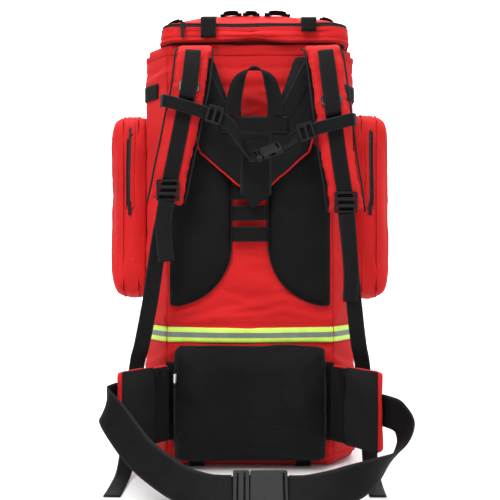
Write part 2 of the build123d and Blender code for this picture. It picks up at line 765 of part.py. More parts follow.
def lid():
    """Lid: hollow cover, liner, zip with slider, straps with plugs, and webbing loops on top."""
    with BuildPart() as lid_cover:
        with BuildSketch(Plane.XY.offset(LID_LOW)):
            lid_plan()
        extrude(amount=LID_TOP - LID_LOW)
        fillet(faces().sort_by(Axis.Z)[-1].edges(), 15)
        offset(amount=-3.0, openings=faces().sort_by(Axis.Z)[0])
    save(lid_cover.part, "lid_cover")

    with BuildPart() as lid_liner:
        with BuildSketch(Plane.XY.offset(LID_LOW)):
            lid_plan(-3.0 - FIT)
        extrude(amount=2.0)
    save(lid_liner.part, "lid_liner")

    with BuildPart() as lid_zip:
        with BuildSketch(Plane.XY.offset(724.0)):
            lid_plan(1.5)
            with Locations((UPPER_X, LID_Y)):
                grown = 0.3
                RectangleRounded(
                    LID_W + 2 * grown, LID_D + 2 * grown, LID_R + grown, mode=Mode.SUBTRACT
                )
            with Locations((0, 100.0)):
                Rectangle(400, 320, mode=Mode.SUBTRACT)
        extrude(amount=6.0)
    save(lid_zip.part, "lid_zip")

    back = LID_Y - LID_D / 2
    with BuildPart() as slider:
        zip_slider((-110.0, back - 1.9, 725.0), (0, -1, 0), (0, 0, -1))
    save(slider.part, "lid_slider")

    mouth, leave = lid_buckle()
    base = 0.42 * WEB + 2.0
    face = leave.cross(Vector(1, 0, 0))
    with BuildPart() as lid_sockets:
        for x in LID_STRAP_X:
            buckle_socket(Plane(origin=mouth + Vector(x, 0, 0), x_dir=-leave, z_dir=face), WEB)
    save(lid_sockets.part, "lid_sockets")
    with BuildPart() as lid_plugs:
        for x in LID_STRAP_X:
            buckle_plug(Plane(origin=mouth + Vector(x, 0, 0), x_dir=-leave, z_dir=face), WEB)
    save(lid_plugs.part, "lid_plugs")

    front = LID_Y + LID_D / 2
    skin = 1.5 + FIT + WEB_T / 2
    hang = 5.0 + 3 * FIT + WEB_T + WEB_T / 2  # the strap's back end hangs clear of the zip slider
    join = mouth + leave * (base + 1.2)
    drops = {LID_STRAP_X[0]: 704.0, LID_STRAP_X[1]: 714.0}
    with BuildPart() as lid_straps:
        for x in LID_STRAP_X:
            with BuildSketch(Plane.YZ.offset(x - WEB / 2)):
                with BuildLine():
                    FilletPolyline(
                        (back - hang, drops[x]),
                        (back - hang, LID_TOP + skin),
                        (front + skin, LID_TOP + skin),
                        (front + skin, LID_LOW + 6.0),
                        (join.Y, join.Z),
                        radius=16.0,
                    )
                trace(line_width=WEB_T)
            extrude(amount=WEB)
    save(lid_straps.part, "lid_straps")

    loops_back = -back - 28.0  # the loops stand near the harness-side edge of the lid
    with BuildPart() as lid_loops:
        with BuildSketch(Plane.XZ.offset(loops_back)):
            for x, span in ((-128, 20), (-32, 24), (2, 22), (46, 30), (130, 18)):
                with BuildLine():
                    ThreePointArc(
                        (x - span / 2, LID_TOP + 1.4),
                        (x, LID_TOP + 8.5),
                        (x + span / 2, LID_TOP + 1.4),
                    )
                trace(line_width=1.8)
        extrude(amount=-WEB)
    save(lid_loops.part, "lid_loops")


def front_anchor_webbing():
    """Webbing that holds the lid buckles' sockets to the front of the bag."""
    mouth, leave = lid_buckle()
    wide, thick, long, plug = buckle_sizes(WEB)
    end = mouth - leave * (long + 1.2)
    with BuildPart() as socket_webbing:
        for x in LID_STRAP_X:
            with BuildSketch(Plane.YZ.offset(x - WEB / 2)):
                with BuildLine():
                    Polyline(
                        (end.Y, end.Z),
                        (FRONT_Y + FIT + 0.9 + 2.0, 552.0),
                        (FRONT_Y + FIT + 0.9 + 2.0, 436.0),
                    )
                trace(line_width=1.6)
            extrude(amount=WEB)
    save(socket_webbing.part, "socket_webbing")


def compression_straps():
    """Webbing that pulls in the upper sides, above the side pockets."""
    with BuildPart() as side_webbing:
        add(plan_ring(FIT + 1.6, FIT, 612.0, 637.0))
        with Locations((0, 0, 620.0)):
            Box(2 * 150.0, 400.0, 80.0, mode=Mode.SUBTRACT)
    save(side_webbing.part, "side_webbing")


panels()
frame()
tape()
base_straps()
back_pads()
torso_adjuster()
yoke()
handle()
harness()
lower_webbing()
sternum()
hip_belt()
side_pockets()
front_pocket()
lid()
front_anchor_webbing()
compression_straps()
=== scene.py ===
"""Looks of the trauma backpack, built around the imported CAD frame. Metres, in the row frame."""

import math
from itertools import product

import bmesh
import bpy
import numpy as np
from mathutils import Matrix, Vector, kdtree, noise
from mathutils.bvhtree import BVHTree


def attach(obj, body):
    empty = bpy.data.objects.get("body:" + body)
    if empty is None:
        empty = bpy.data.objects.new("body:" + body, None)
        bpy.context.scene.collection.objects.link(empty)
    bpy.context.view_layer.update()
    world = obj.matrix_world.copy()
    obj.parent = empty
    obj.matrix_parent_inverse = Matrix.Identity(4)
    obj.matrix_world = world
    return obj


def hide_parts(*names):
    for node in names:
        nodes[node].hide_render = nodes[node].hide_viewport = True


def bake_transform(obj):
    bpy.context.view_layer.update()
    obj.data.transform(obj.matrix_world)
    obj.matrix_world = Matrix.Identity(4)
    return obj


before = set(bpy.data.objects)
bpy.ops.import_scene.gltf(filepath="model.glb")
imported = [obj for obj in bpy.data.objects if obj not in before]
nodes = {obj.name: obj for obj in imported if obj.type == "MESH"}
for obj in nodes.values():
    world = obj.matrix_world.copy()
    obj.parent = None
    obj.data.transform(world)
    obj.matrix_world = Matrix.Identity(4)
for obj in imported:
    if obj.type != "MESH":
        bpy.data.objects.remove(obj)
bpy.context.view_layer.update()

MM = 0.001


# ---------------------------------------------------------------- materials
class Mat:
    """A node material with short ways to add nodes."""

    def __init__(self, name):
        self.mat = bpy.data.materials.new(name)
        self.mat.use_nodes = True
        self.tree = self.mat.node_tree
        self.bsdf = self.tree.nodes["Principled BSDF"]

    def node(self, kind, **props):
        made = self.tree.nodes.new(kind)
        for key, value in props.items():
            setattr(made, key, value)
        return made

    def link(self, a, b):
        self.tree.links.new(a, b)

    def split(self, vector):
        made = self.node("ShaderNodeSeparateXYZ")
        self.link(vector, made.inputs[0])
        return made.outputs

    def feed(self, socket, value):
        if hasattr(value, "is_linked"):
            self.link(value, socket)
        else:
            socket.default_value = value

    def math(self, op, a, b=0.0, c=0.0):
        made = self.node("ShaderNodeMath", operation=op)
        for i, value in enumerate((a, b, c)):
            self.feed(made.inputs[i], value)
        return made.outputs[0]

    def scaled(self, a, b, plus=None):
        """a times b, plus a third value where one is given."""
        return self.math("MULTIPLY", a, b) if plus is None else self.math("MULTIPLY_ADD", a, b, plus)

    def ramp(self, value, low, high):
        made = self.node("ShaderNodeMapRange", clamp=True)
        self.feed(made.inputs["Value"], value)
        made.inputs["From Min"].default_value = low
        made.inputs["From Max"].default_value = high
        return made.outputs[0]

    def noise(self, where, scale, detail=3.0, rough=0.55):
        made = self.node("ShaderNodeTexNoise")
        self.link(where, made.inputs["Vector"])
        made.inputs["Scale"].default_value = scale
        made.inputs["Detail"].default_value = detail
        made.inputs["Roughness"].default_value = rough
        return made.outputs[0]

    def colour(self, factor, low, high):
        made = self.node("ShaderNodeMix", data_type="RGBA")
        self.feed(made.inputs[0], factor)
        for socket, value in ((made.inputs[6], low), (made.inputs[7], high)):
            self.feed(socket, value if hasattr(value, "is_linked") else (*value, 1.0))
        return made.outputs[2]

    def bump(self, height, strength, distance, under=None):
        made = self.node("ShaderNodeBump")
        made.inputs["Strength"].default_value = strength
        made.inputs["Distance"].default_value = distance
        self.link(height, made.inputs["Height"])
        if under is not None:
            self.link(under, made.inputs["Normal"])
        return made.outputs[0]

    def set(self, **values):
        for key, value in values.items():
            self.feed(self.bsdf.inputs[key.replace("_", " ")], value)

    def place(self):
        """Object position."""
        return self.node("ShaderNodeTexCoord").outputs["Object"]

    def strip(self):
        """Position along and across a band, in metres, from its own map."""
        uv = self.node("ShaderNodeUVMap", uv_map="strip").outputs[0]
        along, side, _ = self.split(uv)
        return uv, along, side


def weave_height(m, across, up, pitch):
    """Plain weave: over and under threads of the given pitch."""
    k = 2 * math.pi / pitch
    a = m.math("SINE", m.scaled(across, k))
    b = m.math("SINE", m.scaled(up, k))
    return m.scaled(m.scaled(a, b), 0.5, 0.5)


def pack_cloth(name, dark, light, pitch=0.0016, sheen=0.03, bump=0.5, shine=0.14):
    """Heavy woven pack fabric: weave, uneven dye, faint rub marks and soft creases."""
    m = Mat(name)
    where = m.place()
    x, y, z = m.split(where)
    across, up = m.math("ADD", x, y), m.scaled(m.math("SUBTRACT", x, y), 0.35, z)
    weave = weave_height(m, across, up, pitch)
    cloudy = m.noise(where, 9.0, 5.0)
    rub = m.noise(where, 60.0, 6.0, 0.7)
    crease = m.noise(where, 34.0, 4.0, 0.6)
    tone = m.scaled(cloudy, 0.6, m.scaled(weave, 0.4))
    base = m.colour(m.ramp(tone, 0.3, 0.75), dark, light)
    worn = m.colour(m.ramp(rub, 0.62, 0.85), base, tuple(min(1, c * 1.3 + 0.015) for c in light))
    m.set(Base_Color=worn, Roughness=m.scaled(rub, 0.18, 0.62))
    m.set(Sheen_Weight=sheen, Sheen_Roughness=0.45, Specular_IOR_Level=shine)
    low = m.bump(crease, 0.35, 0.0016)
    m.set(Normal=m.bump(weave, bump, 0.0004, low))
    return m.mat


def air_mesh(name, dark, light, pitch=0.0042):
    """Spacer mesh: a lattice of small oval holes, coloured dark as painted shade in the holes, laid flat on
    panels that face -Y.
    """
    m = Mat(name)
    where = m.place()
    x, y, up = m.split(where)
    across = m.scaled(y, 0.2, x)
    k = math.pi / pitch
    a = m.math("SINE", m.scaled(m.math("ADD", across, up), k))
    b = m.math("SINE", m.scaled(m.math("SUBTRACT", across, up), k))
    lattice = m.math("ABSOLUTE", m.scaled(a, b))
    shaded_hole = m.ramp(lattice, 0.30, 0.62)
    fuzz = m.noise(where, 420.0, 2.0)
    cloudy = m.noise(where, 14.0, 4.0)
    lit = m.colour(m.ramp(cloudy, 0.3, 0.7), light, tuple(c * 1.6 for c in light))
    # Painted shade: the holes get the dark colour, standing in for shade inside the mesh.
    base = m.colour(shaded_hole, lit, dark)
    m.set(Base_Color=base, Roughness=m.scaled(fuzz, 0.2, 0.7))
    m.set(Sheen_Weight=0.01, Sheen_Roughness=0.5, Specular_IOR_Level=0.06)
    height = m.scaled(shaded_hole, -1.0, m.scaled(fuzz, 0.3))
    m.set(Normal=m.bump(height, 0.6, 0.0009))
    return m.mat


def webbing(name, dark, light, width, pitch=0.0022):
    """Flat nylon webbing: cross ribs, a finer lengthwise weave and bound edges."""
    m = Mat(name)
    uv, along, side = m.strip()
    rib = weave_height(m, along, side, pitch)
    cross = m.math("SINE", m.scaled(along, 2 * math.pi / pitch))
    ribs = m.scaled(cross, 0.25, m.scaled(rib, 0.6))
    off = m.math("ABSOLUTE", side)
    edge = m.ramp(off, width * 0.40, width * 0.47)
    cloudy = m.noise(uv, 40.0, 4.0)
    tone = m.scaled(cloudy, 0.55, m.scaled(ribs, 0.5))
    base = m.colour(m.ramp(tone, 0.2, 0.8), dark, light)
    # Painted highlight: the selvedges are lightened where light catches the rounded edges.
    base = m.colour(m.scaled(edge, 0.5), base, tuple(c * 1.5 + 0.01 for c in light))
    m.set(Base_Color=base, Roughness=m.scaled(cloudy, 0.25, 0.5))
    m.set(Sheen_Weight=0.01, Sheen_Roughness=0.4, Specular_IOR_Level=0.09)
    height = m.scaled(edge, -0.6, ribs)
    m.set(Normal=m.bump(height, 0.55, 0.0006))
    return m.mat


def moulded(name, dark, light, rough=0.46):
    """Moulded nylon hardware: fine spark-eroded grain, scuffs and slightly uneven gloss."""
    m = Mat(name)
    where = m.place()
    fine = m.noise(where, 900.0, 2.0)
    scuff = m.noise(where, 130.0, 6.0, 0.75)
    m.set(Base_Color=m.colour(m.ramp(scuff, 0.5, 0.8), dark, light))
    m.set(Roughness=m.scaled(scuff, 0.3, rough - 0.1), Specular_IOR_Level=0.22)
    m.set(Normal=m.bump(fine, 0.25, 0.0002))
    return m.mat


def metal(name, dark, light, rough):
    """Plated wire: brushed, with darker tarnish in patches."""
    m = Mat(name)
    where = m.place()
    scratch = m.noise(where, 300.0, 5.0, 0.8)
    patch = m.noise(where, 45.0, 3.0)
    m.set(Base_Color=m.colour(m.ramp(patch, 0.35, 0.7), dark, light), Metallic=1.0)
    m.set(Roughness=m.scaled(scratch, 0.3, rough))
    m.set(Normal=m.bump(scratch, 0.2, 0.0002))
    return m.mat


def reflective(name):
    """Reflective tape: lime edges, a silver glass-bead stripe and a fine lattice."""
    m = Mat(name)
    where = m.place()
    _, along, side = m.strip()
    lattice = weave_height(m, along, side, 0.0026)
    silver = m.scaled(m.ramp(side, -0.0046, -0.0040), m.ramp(side, 0.0046, 0.0040))
    dirt = m.noise(where, 50.0, 5.0, 0.65)
    lime = m.colour(m.ramp(dirt, 0.35, 0.75), (0.56, 0.82, 0.10), (0.44, 0.66, 0.06))
    grey = m.colour(m.ramp(dirt, 0.3, 0.8), (0.15, 0.17, 0.155), (0.10, 0.115, 0.105))
    base = m.colour(silver, lime, grey)
    stitch = m.ramp(m.math("ABSOLUTE", side), 0.0104, 0.0108)
    gap = m.ramp(m.math("SINE", m.scaled(along, 2 * math.pi / 0.004)), -0.2, 0.2)
    base = m.colour(m.scaled(m.scaled(stitch, gap), 0.45), base, (0.2, 0.22, 0.1))
    m.set(Base_Color=base, Roughness=m.scaled(dirt, 0.25, 0.3))
    m.set(Specular_IOR_Level=0.6)
    m.set(Normal=m.bump(lattice, 0.35, 0.0004))
    return m.mat


def zip_tape(name):
    """Zip seen closed: woven tape with a row of coil teeth down the middle."""
    m = Mat(name)
    _, along, side = m.strip()
    off = m.math("ABSOLUTE", side)
    coil = m.ramp(off, 0.0022, 0.0016)
    tooth = m.scaled(m.math("SINE", m.scaled(along, 2 * math.pi / 0.0022)), 0.5, 0.5)
    weave = weave_height(m, along, side, 0.0009)
    teeth = m.scaled(coil, m.math("ADD", tooth, 0.6))
    height = m.math("ADD", teeth, m.scaled(weave, 0.2))
    tone = m.scaled(coil, tooth)
    m.set(Base_Color=m.colour(tone, (0.005, 0.005, 0.0055), (0.020, 0.020, 0.021)))
    m.set(Roughness=m.scaled(coil, -0.25, 0.7), Specular_IOR_Level=0.15)
    m.set(Normal=m.bump(height, 0.8, 0.0008))
    return m.mat


RED = pack_cloth("red_pack_cloth", (0.40, 0.006, 0.007), (0.57, 0.013, 0.014))
RED_DEEP = pack_cloth("red_strap_cloth", (0.38, 0.006, 0.007), (0.55, 0.012, 0.013), bump=0.7)
LINING = pack_cloth("dark_lining", (0.008, 0.008, 0.009), (0.020, 0.020, 0.022), sheen=0.02, shine=0.12)
BLACK = pack_cloth("black_cloth", (0.002, 0.002, 0.0025), (0.006, 0.006, 0.0066), sheen=0.02, shine=0.12)
MESH = air_mesh("black_air_mesh", (0.0010, 0.0010, 0.0011), (0.0082, 0.0082, 0.0087))
MESH_FINE = air_mesh("black_fine_mesh", (0.0006, 0.0006, 0.0007), (0.0120, 0.0120, 0.0126), pitch=0.0036)
WEB_DARK, WEB_LIGHT = (0.0016, 0.0016, 0.0018), (0.0065, 0.0065, 0.0070)
WEB25 = webbing("webbing_25", WEB_DARK, WEB_LIGHT, 0.025)
WEB20 = webbing("webbing_20", WEB_DARK, WEB_LIGHT, 0.020)
WEB50 = webbing("webbing_50", WEB_DARK, (0.0070, 0.0070, 0.0076), 0.050, pitch=0.0030)
BINDING = webbing("binding_tape", (0.36, 0.006, 0.007), (0.52, 0.012, 0.013), 0.008, pitch=0.0016)
PLASTIC = moulded("black_moulding", (0.0025, 0.0025, 0.0028), (0.008, 0.008, 0.0086))
FOAM = pack_cloth("grey_foam", (0.05, 0.05, 0.052), (0.09, 0.09, 0.092), pitch=0.0012, shine=0.1)
FRAME_PLASTIC = moulded("frame_sheet_plastic", (0.02, 0.02, 0.02), (0.06, 0.06, 0.06), 0.5)
ALLOY = metal("stay_alloy", (0.55, 0.55, 0.57), (0.75, 0.75, 0.77), 0.35)
BRONZE = metal("ring_plating", (0.05, 0.042, 0.035), (0.16, 0.13, 0.10), 0.34)
TAPE = reflective("reflective_tape")
ZIP = zip_tape("zip_coil_tape")
THREAD_RED = pack_cloth("red_thread", (0.34, 0.01, 0.012), (0.55, 0.02, 0.022), pitch=0.0008)
THREAD_BLACK = pack_cloth("black_thread", (0.005, 0.005, 0.005), (0.016, 0.016, 0.017),
                          pitch=0.0008, sheen=0.02, shine=0.15)
LABEL = pack_cloth("blank_label", (0.55, 0.54, 0.52), (0.75, 0.74, 0.72), pitch=0.0010)


# ---------------------------------------------------------------- mesh helpers
TUBE_SIDES = 8
STITCH_LENGTH, STITCH_GAP, STITCH_RADIUS = 0.0032, 0.0016, 0.00045
SIM_FRAMES, STIFFNESS = 18, 15.0  # of the cloth solver
SIDES = (("left", -1), ("right", 1))


def make(name, points, faces, material, body, replaces=(), slot=None, uv=None):
    """A finished mesh piece that rides on a body."""
    mesh = bpy.data.meshes.new(name)
    mesh.from_pydata([tuple(p) for p in points], [], faces)
    mesh.update()
    obj = bpy.data.objects.new(name, mesh)
    bpy.context.scene.collection.objects.link(obj)
    if uv is not None:
        layer = mesh.uv_layers.new(name="strip")
        for loop in mesh.loops:
            layer.data[loop.index].uv = uv[loop.vertex_index]
    bm = bmesh.new()
    bm.from_mesh(mesh)
    bmesh.ops.recalc_face_normals(bm, faces=bm.faces)
    bm.to_mesh(mesh)
    bm.free()
    mesh.polygons.foreach_set("use_smooth", [True] * len(mesh.polygons))
    mesh.materials.append(material)
    dress(obj, body, replaces, slot)
    return obj


def dress(obj, body, replaces=(), slot=None):
    """Puts a piece on its body and hides the CAD nodes it stands for; the slot argument is not used."""
    if body:
        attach(obj, body)
    if replaces:
        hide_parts(*replaces)


def smooth_line(points, step=0.004):
    """Points close together along a Catmull-Rom curve through the given ones."""
    p = [np.array(q, float) for q in points]
    p = [2 * p[0] - p[1]] + p + [2 * p[-1] - p[-2]]
    out = []
    for a, b, c, d in zip(p, p[1:], p[2:], p[3:]):
        count = max(2, int(np.linalg.norm(c - b) / step))
        for i in range(count):
            t = i / count
            bend, twist = 2 * a - 5 * b + 4 * c - d, 3 * b - a - 3 * c + d
            out.append(0.5 * (2 * b + (c - a) * t + bend * t**2 + twist * t**3))
    out.append(p[-2])
    return out


def frames_along(points, acrosses, step):
    """Centre points, width directions and tangents along a smooth band."""
    joined = [tuple(p) + tuple(a) for p, a in zip(points, acrosses)]
    line = smooth_line(joined, step)
    centre = [q[:3] for q in line]
    found = []
    for i, q in enumerate(line):
        run = centre[min(i + 1, len(line) - 1)] - centre[max(i - 1, 0)]
        run /= np.linalg.norm(run)
        wide = q[3:] - run * np.dot(q[3:], run)
        wide /= np.linalg.norm(wide)
        found.append((q[:3], wide, run))
    return found


def ring_strip(rows, closed=False):
    """Faces between equal rings of vertices; unless closed, the ends stay open."""
    count, size = len(rows), len(rows[0])
    faces = []
    for i in range(count if closed else count - 1):
        j = (i + 1) % count
        for k in range(size):
            n = (k + 1) % size
            faces.append((i * size + k, i * size + n, j * size + n, j * size + k))
    return faces


def capped(rows):
    """Faces between equal rings of vertices, and over both ends."""
    return ring_strip(rows) + [tuple(reversed(rows[0])), tuple(rows[-1])]


def merged(parts):
    """Several (vertices, faces) as one."""
    verts, faces = [], []
    for more, shells in parts:
        faces += [tuple(i + len(verts) for i in face) for face in shells]
        verts += list(more)
    return verts, faces


def band_profile(width, thick, ribs=9):
    """Cross-section of webbing: flat faces, rounded selvedges."""
    half, t = width / 2, thick / 2
    xs = np.linspace(-half + t * 0.6, half - t * 0.6, ribs)
    top = [(x, t) for x in xs]
    low = [(x, -t) for x in xs[::-1]]
    return top + [(half, t * 0.35), (half, -t * 0.35)] + low + [(-half, -t * 0.35), (-half, t * 0.35)]


def band(name, points, acrosses, width, thick, material, body, replaces=(), slot="black_webbing",
         step=0.004, cup=0.0, profile=None):
    """A smooth flat strap through the given points (millimetres), with its own length map.

    Its width lies along acrosses: one direction, or one for each point.
    """
    if isinstance(acrosses, tuple):
        acrosses = [acrosses] * len(points)
    line = frames_along([np.array(p) * MM for p in points], acrosses, step)
    profile = profile or band_profile(width * MM, thick * MM)
    verts, rows, uv, gone, before = [], [], [], 0.0, line[0][0]
    for centre, wide, run in line:
        face = np.cross(run, wide)
        gone += float(np.linalg.norm(centre - before))
        before = centre
        rows.append(range(len(verts), len(verts) + len(profile)))
        for x, y in profile:
            lift = cup * MM * (1 - (2 * x / (width * MM)) ** 2)
            verts.append(centre + wide * x + face * (y + lift))
            uv.append((gone, x))
    return make(name, verts, capped(rows), material, body, replaces, slot, uv)


def join(name, objs, body, replaces=(), slot=None):
    """Joins finished pieces into one object."""
    bpy.ops.object.select_all(action="DESELECT")
    for o in objs:
        o.parent = None
        o.select_set(True)
    bpy.context.view_layer.objects.active = objs[0]
    bpy.ops.object.join()
    joined = objs[0]
    joined.name = name
    joined.data.name = name
    dress(joined, body, replaces, slot)
    return joined


def webs(name, lines, across, replaces, width=25, thick=1.8, material=WEB25, slot="black_webbing", **more):
    """Several straps that lie alike on the bag, as one piece."""
    layers = [band("layer", line, across, width, thick, material, None, **more) for line in lines]
    return join(name, layers, "bag", replaces, slot)


def tube(points, radius):
    """Vertices and faces of a round tube through points in metres."""
    line = smooth_line(points, 0.003)
    verts, rows, side = [], [], None
    for i, centre in enumerate(line):
        run = line[min(i + 1, len(line) - 1)] - line[max(i - 1, 0)]
        run /= np.linalg.norm(run)
        if side is None:
            side = np.cross(run, (0.0, 0.0, 1.0) if abs(run[2]) < 0.9 else (1.0, 0.0, 0.0))
        side = side - run * np.dot(side, run)
        side /= np.linalg.norm(side)
        up = np.cross(run, side)
        rows.append(range(len(verts), len(verts) + TUBE_SIDES))
        for k in range(TUBE_SIDES):
            a = 2 * math.pi * k / TUBE_SIDES
            verts.append(centre + radius * (math.cos(a) * side + math.sin(a) * up))
    return verts, capped(rows)


def tubes(name, lines, radius, material, body="bag", slot="red_fabric"):
    """Piping along lines of points (millimetres), as one piece."""
    verts, faces = merged(tube([np.array(p) * MM for p in line], radius) for line in lines)
    return make(name, verts, faces, material, body, (), slot)


def stitches(name, lines, material, body, slot):
    """Rows of thread stitches lying along lines of points (millimetres)."""
    parts = []
    for line in lines:
        fine = smooth_line([np.array(p) * MM for p in line], 0.0008)
        gone, start, began = 0.0, 0.0, True
        run = [fine[0]]
        for a, b in zip(fine, fine[1:]):
            gone += float(np.linalg.norm(b - a))
            if began:
                run.append(b)
                if gone - start >= STITCH_LENGTH:
                    parts.append(stitch(run))
                    began, start, run = False, gone, []
            elif gone - start >= STITCH_GAP:
                began, start, run = True, gone, [b]
    return make(name, *merged(parts), material, body, (), slot)


def stitch(run):
    """One stitch: a short thread that dips into the cloth at both ends."""
    a, b = run[0], run[-1]
    along = b - a
    along /= np.linalg.norm(along)
    side = np.cross(along, (0.0, 1.0, 0.0) if abs(along[1]) < 0.9 else (1.0, 0.0, 0.0))
    side /= np.linalg.norm(side)
    up = np.cross(side, along)
    verts = []
    for share, fat in ((0.0, 0.35), (0.25, 1.0), (0.75, 1.0), (1.0, 0.35)):
        centre = a + (b - a) * share
        for k in range(5):
            w = 2 * math.pi * k / 5
            verts.append(centre + STITCH_RADIUS * fat * (math.cos(w) * side + math.sin(w) * up))
    return verts, capped([range(5 * i, 5 * i + 5) for i in range(4)])


def surface(*objs):
    """A search tree over finished pieces."""
    return BVHTree.FromPolygons(*merged(
        ([v.co.copy() for v in o.data.vertices], [tuple(p.vertices) for p in o.data.polygons]) for o in objs))


def snap(tree, points, lift):
    """Points (millimetres) moved to the nearest place on a surface, and lifted off it."""
    out = []
    for p in points:
        place, away, _, _ = tree.find_nearest(Vector(p) * MM)
        out.append(np.array(place + away * lift * MM) / MM)
    return out


def eased(points, rounds=4):
    """A line with its small jogs averaged out; its ends stay."""
    line = np.array(points, float)
    for _ in range(rounds):
        line[1:-1] = (line[:-2] + 2 * line[1:-1] + line[2:]) / 4
    return list(line)


def drop(tree, points, toward, lift):
    """Points (millimetres) moved along a direction onto a surface, and lifted off it."""
    out, way = [], Vector(toward).normalized()
    for p in points:
        hit = tree.ray_cast(Vector(p) * MM - way * 0.04, way, 0.14)[0]
        out.append(np.array(hit - way * lift * MM) / MM if hit else np.array(p, float))
    return out


# ---------------------------------------------------------------- padded pieces
def solid_of(name, node):
    """The filled outer form of a hollow CAD node."""
    obj = copy_node(name, node)
    bm = bmesh.new()
    bm.from_mesh(obj.data)
    made = bmesh.ops.convex_hull(bm, input=bm.verts)
    keep = set(made["geom"])
    spare = [f for f in bm.faces if f not in keep]
    bmesh.ops.delete(bm, geom=spare, context="FACES_ONLY")
    bmesh.ops.delete(bm, geom=[v for v in bm.verts if not v.link_faces], context="VERTS")
    bmesh.ops.recalc_face_normals(bm, faces=bm.faces)
    bm.to_mesh(obj.data)
    bm.free()
    return obj


def copy_node(name, node):
    """A free copy of a CAD node's mesh."""
    mesh = nodes[node].data.copy()
    mesh.materials.clear()
    obj = bpy.data.objects.new(name, mesh)
    bpy.context.scene.collection.objects.link(obj)
    return obj


def modify(obj, kind, **settings):
    """Adds a modifier with these settings and applies it."""
    modifier = obj.modifiers.new("modify", kind)
    for key, value in settings.items():
        setattr(modifier, key, value)
    bpy.ops.object.select_all(action="DESELECT")
    bpy.context.view_layer.objects.active = obj
    obj.select_set(True)
    bpy.ops.object.modifier_apply(modifier=modifier.name)


def remesh(obj, voxel):
    modify(obj, "REMESH", mode="VOXEL", voxel_size=voxel)


def coords(mesh, key="co"):
    """Each vertex's place, or its normal, as rows of an array."""
    found = np.empty(len(mesh.vertices) * 3)
    mesh.vertices.foreach_get(key, found)
    return found.reshape(-1, 3)


def set_coords(mesh, co):
    mesh.vertices.foreach_set("co", np.asarray(co, float).ravel())
    mesh.update()


def normals(mesh):
    return coords(mesh, "normal")


def relax(mesh, rounds, share=0.5):
    """Evens out the voxel steps."""
    co = coords(mesh)
    edges = np.empty(len(mesh.edges) * 2, int)
    mesh.edges.foreach_get("vertices", edges)
    a, b = edges.reshape(-1, 2).T
    count = np.bincount(np.concatenate((a, b)), minlength=len(co)).astype(float)[:, None]
    for _ in range(rounds):
        total = np.zeros_like(co)
        np.add.at(total, a, co[b])
        np.add.at(total, b, co[a])
        co += share * (total / np.maximum(count, 1) - co)
    set_coords(mesh, co)


def inflate(obj, pressure, cap, held=None):
    """Cloth simulation with air pressure, gravity off; movement is capped, held points are pinned."""
    before = coords(obj.data)
    cloth = obj.modifiers.new("cloth", "CLOTH")
    s = cloth.settings
    s.quality = 5
    s.mass = 0.25
    s.tension_stiffness = s.compression_stiffness = STIFFNESS
    s.shear_stiffness = STIFFNESS / 2
    s.bending_stiffness = 0.8
    s.use_pressure = True
    s.uniform_pressure_force = pressure
    s.effector_weights.gravity = 0
    cloth.collision_settings.use_collision = False
    if held is not None:
        group = obj.vertex_groups.new(name="held")
        for i, weight in enumerate(held):
            if weight > 0.02:
                group.add([i], float(weight), "REPLACE")
        s.vertex_group_mass = "held"
    cloth.point_cache.frame_start, cloth.point_cache.frame_end = 1, SIM_FRAMES
    scene = bpy.context.scene
    for f in range(1, SIM_FRAMES + 1):
        scene.frame_set(f)
    baked = obj.evaluated_get(bpy.context.evaluated_depsgraph_get())
    after = coords(baked.data)
    obj.modifiers.clear()
    obj.vertex_groups.clear()
    scene.frame_set(1)
    move = after - before
    size = np.linalg.norm(move, axis=1, keepdims=True)
    move *= np.minimum(1.0, cap / np.maximum(size, 1e-9))
    set_coords(obj.data, before + move)


def noise_field(co, scale, seed=0.0, octaves=3):
    """Fractal noise at each point, about -1 to 1."""
    shift = Vector((seed, seed * 1.7, -seed))
    return np.array([noise.fractal(Vector(p) * scale + shift, 0.9, 2.0, octaves) for p in co])


def edge_distance(obj, axis):
    """Distance of each vertex from the pad's rim, seen along its thickness axis."""
    co, facing = coords(obj.data), normals(obj.data)
    axis = np.array(axis, float) / np.linalg.norm(axis)
    rim = np.abs(facing @ axis) < 0.55
    flat = co - np.outer(co @ axis, axis)
    tree = kdtree.KDTree(int(rim.sum()))
    for i, p in enumerate(flat[rim]):
        tree.insert(p, i)
    tree.balance()
    return np.array([tree.find(p)[2] for p in flat])


def crowned(obj, axis, root, radius, low=0.45):
    """Thins a flat pad towards its rim: heights along axis are scaled down about root."""
    axis = np.array(axis, float) / np.linalg.norm(axis)
    co = coords(obj.data)
    t = np.clip(edge_distance(obj, axis) / radius, 0, 1)
    share = low + (1 - low) * np.sqrt(1 - (1 - t) ** 2)
    height = co @ axis - root
    return co + np.outer(height * (share - 1), axis)


def pad_piece(name, node, material, body, slot, voxel=0.005, pressure=4.0, cap=0.008,
              shape=None, after=None, creases=0.0006, held=None, source=None):
    """A padded piece from its CAD solid: remeshed, shaped, inflated as cloth, creased."""
    obj = source or copy_node(name, node)
    remesh(obj, voxel)
    relax(obj.data, 4)
    if shape is not None:
        set_coords(obj.data, shape(obj))
    inflate(obj, pressure, cap, None if held is None else held(coords(obj.data)))
    relax(obj.data, 2, 0.4)
    modify(obj, "SUBSURF", levels=1, render_levels=1)
    if after is not None:
        set_coords(obj.data, after(coords(obj.data)))
    co = coords(obj.data)
    obj.data.update()
    away = normals(obj.data)
    lift = noise_field(co, 26.0, 3.0) * creases + noise_field(co, 9.0, 8.0, 2) * creases * 1.6
    set_coords(obj.data, co + away * lift[:, None])
    obj.data.polygons.foreach_set("use_smooth", [True] * len(obj.data.polygons))
    obj.data.materials.clear()
    obj.data.materials.append(material)
    dress(obj, body, (node,) if isinstance(node, str) else node, slot)
    return obj


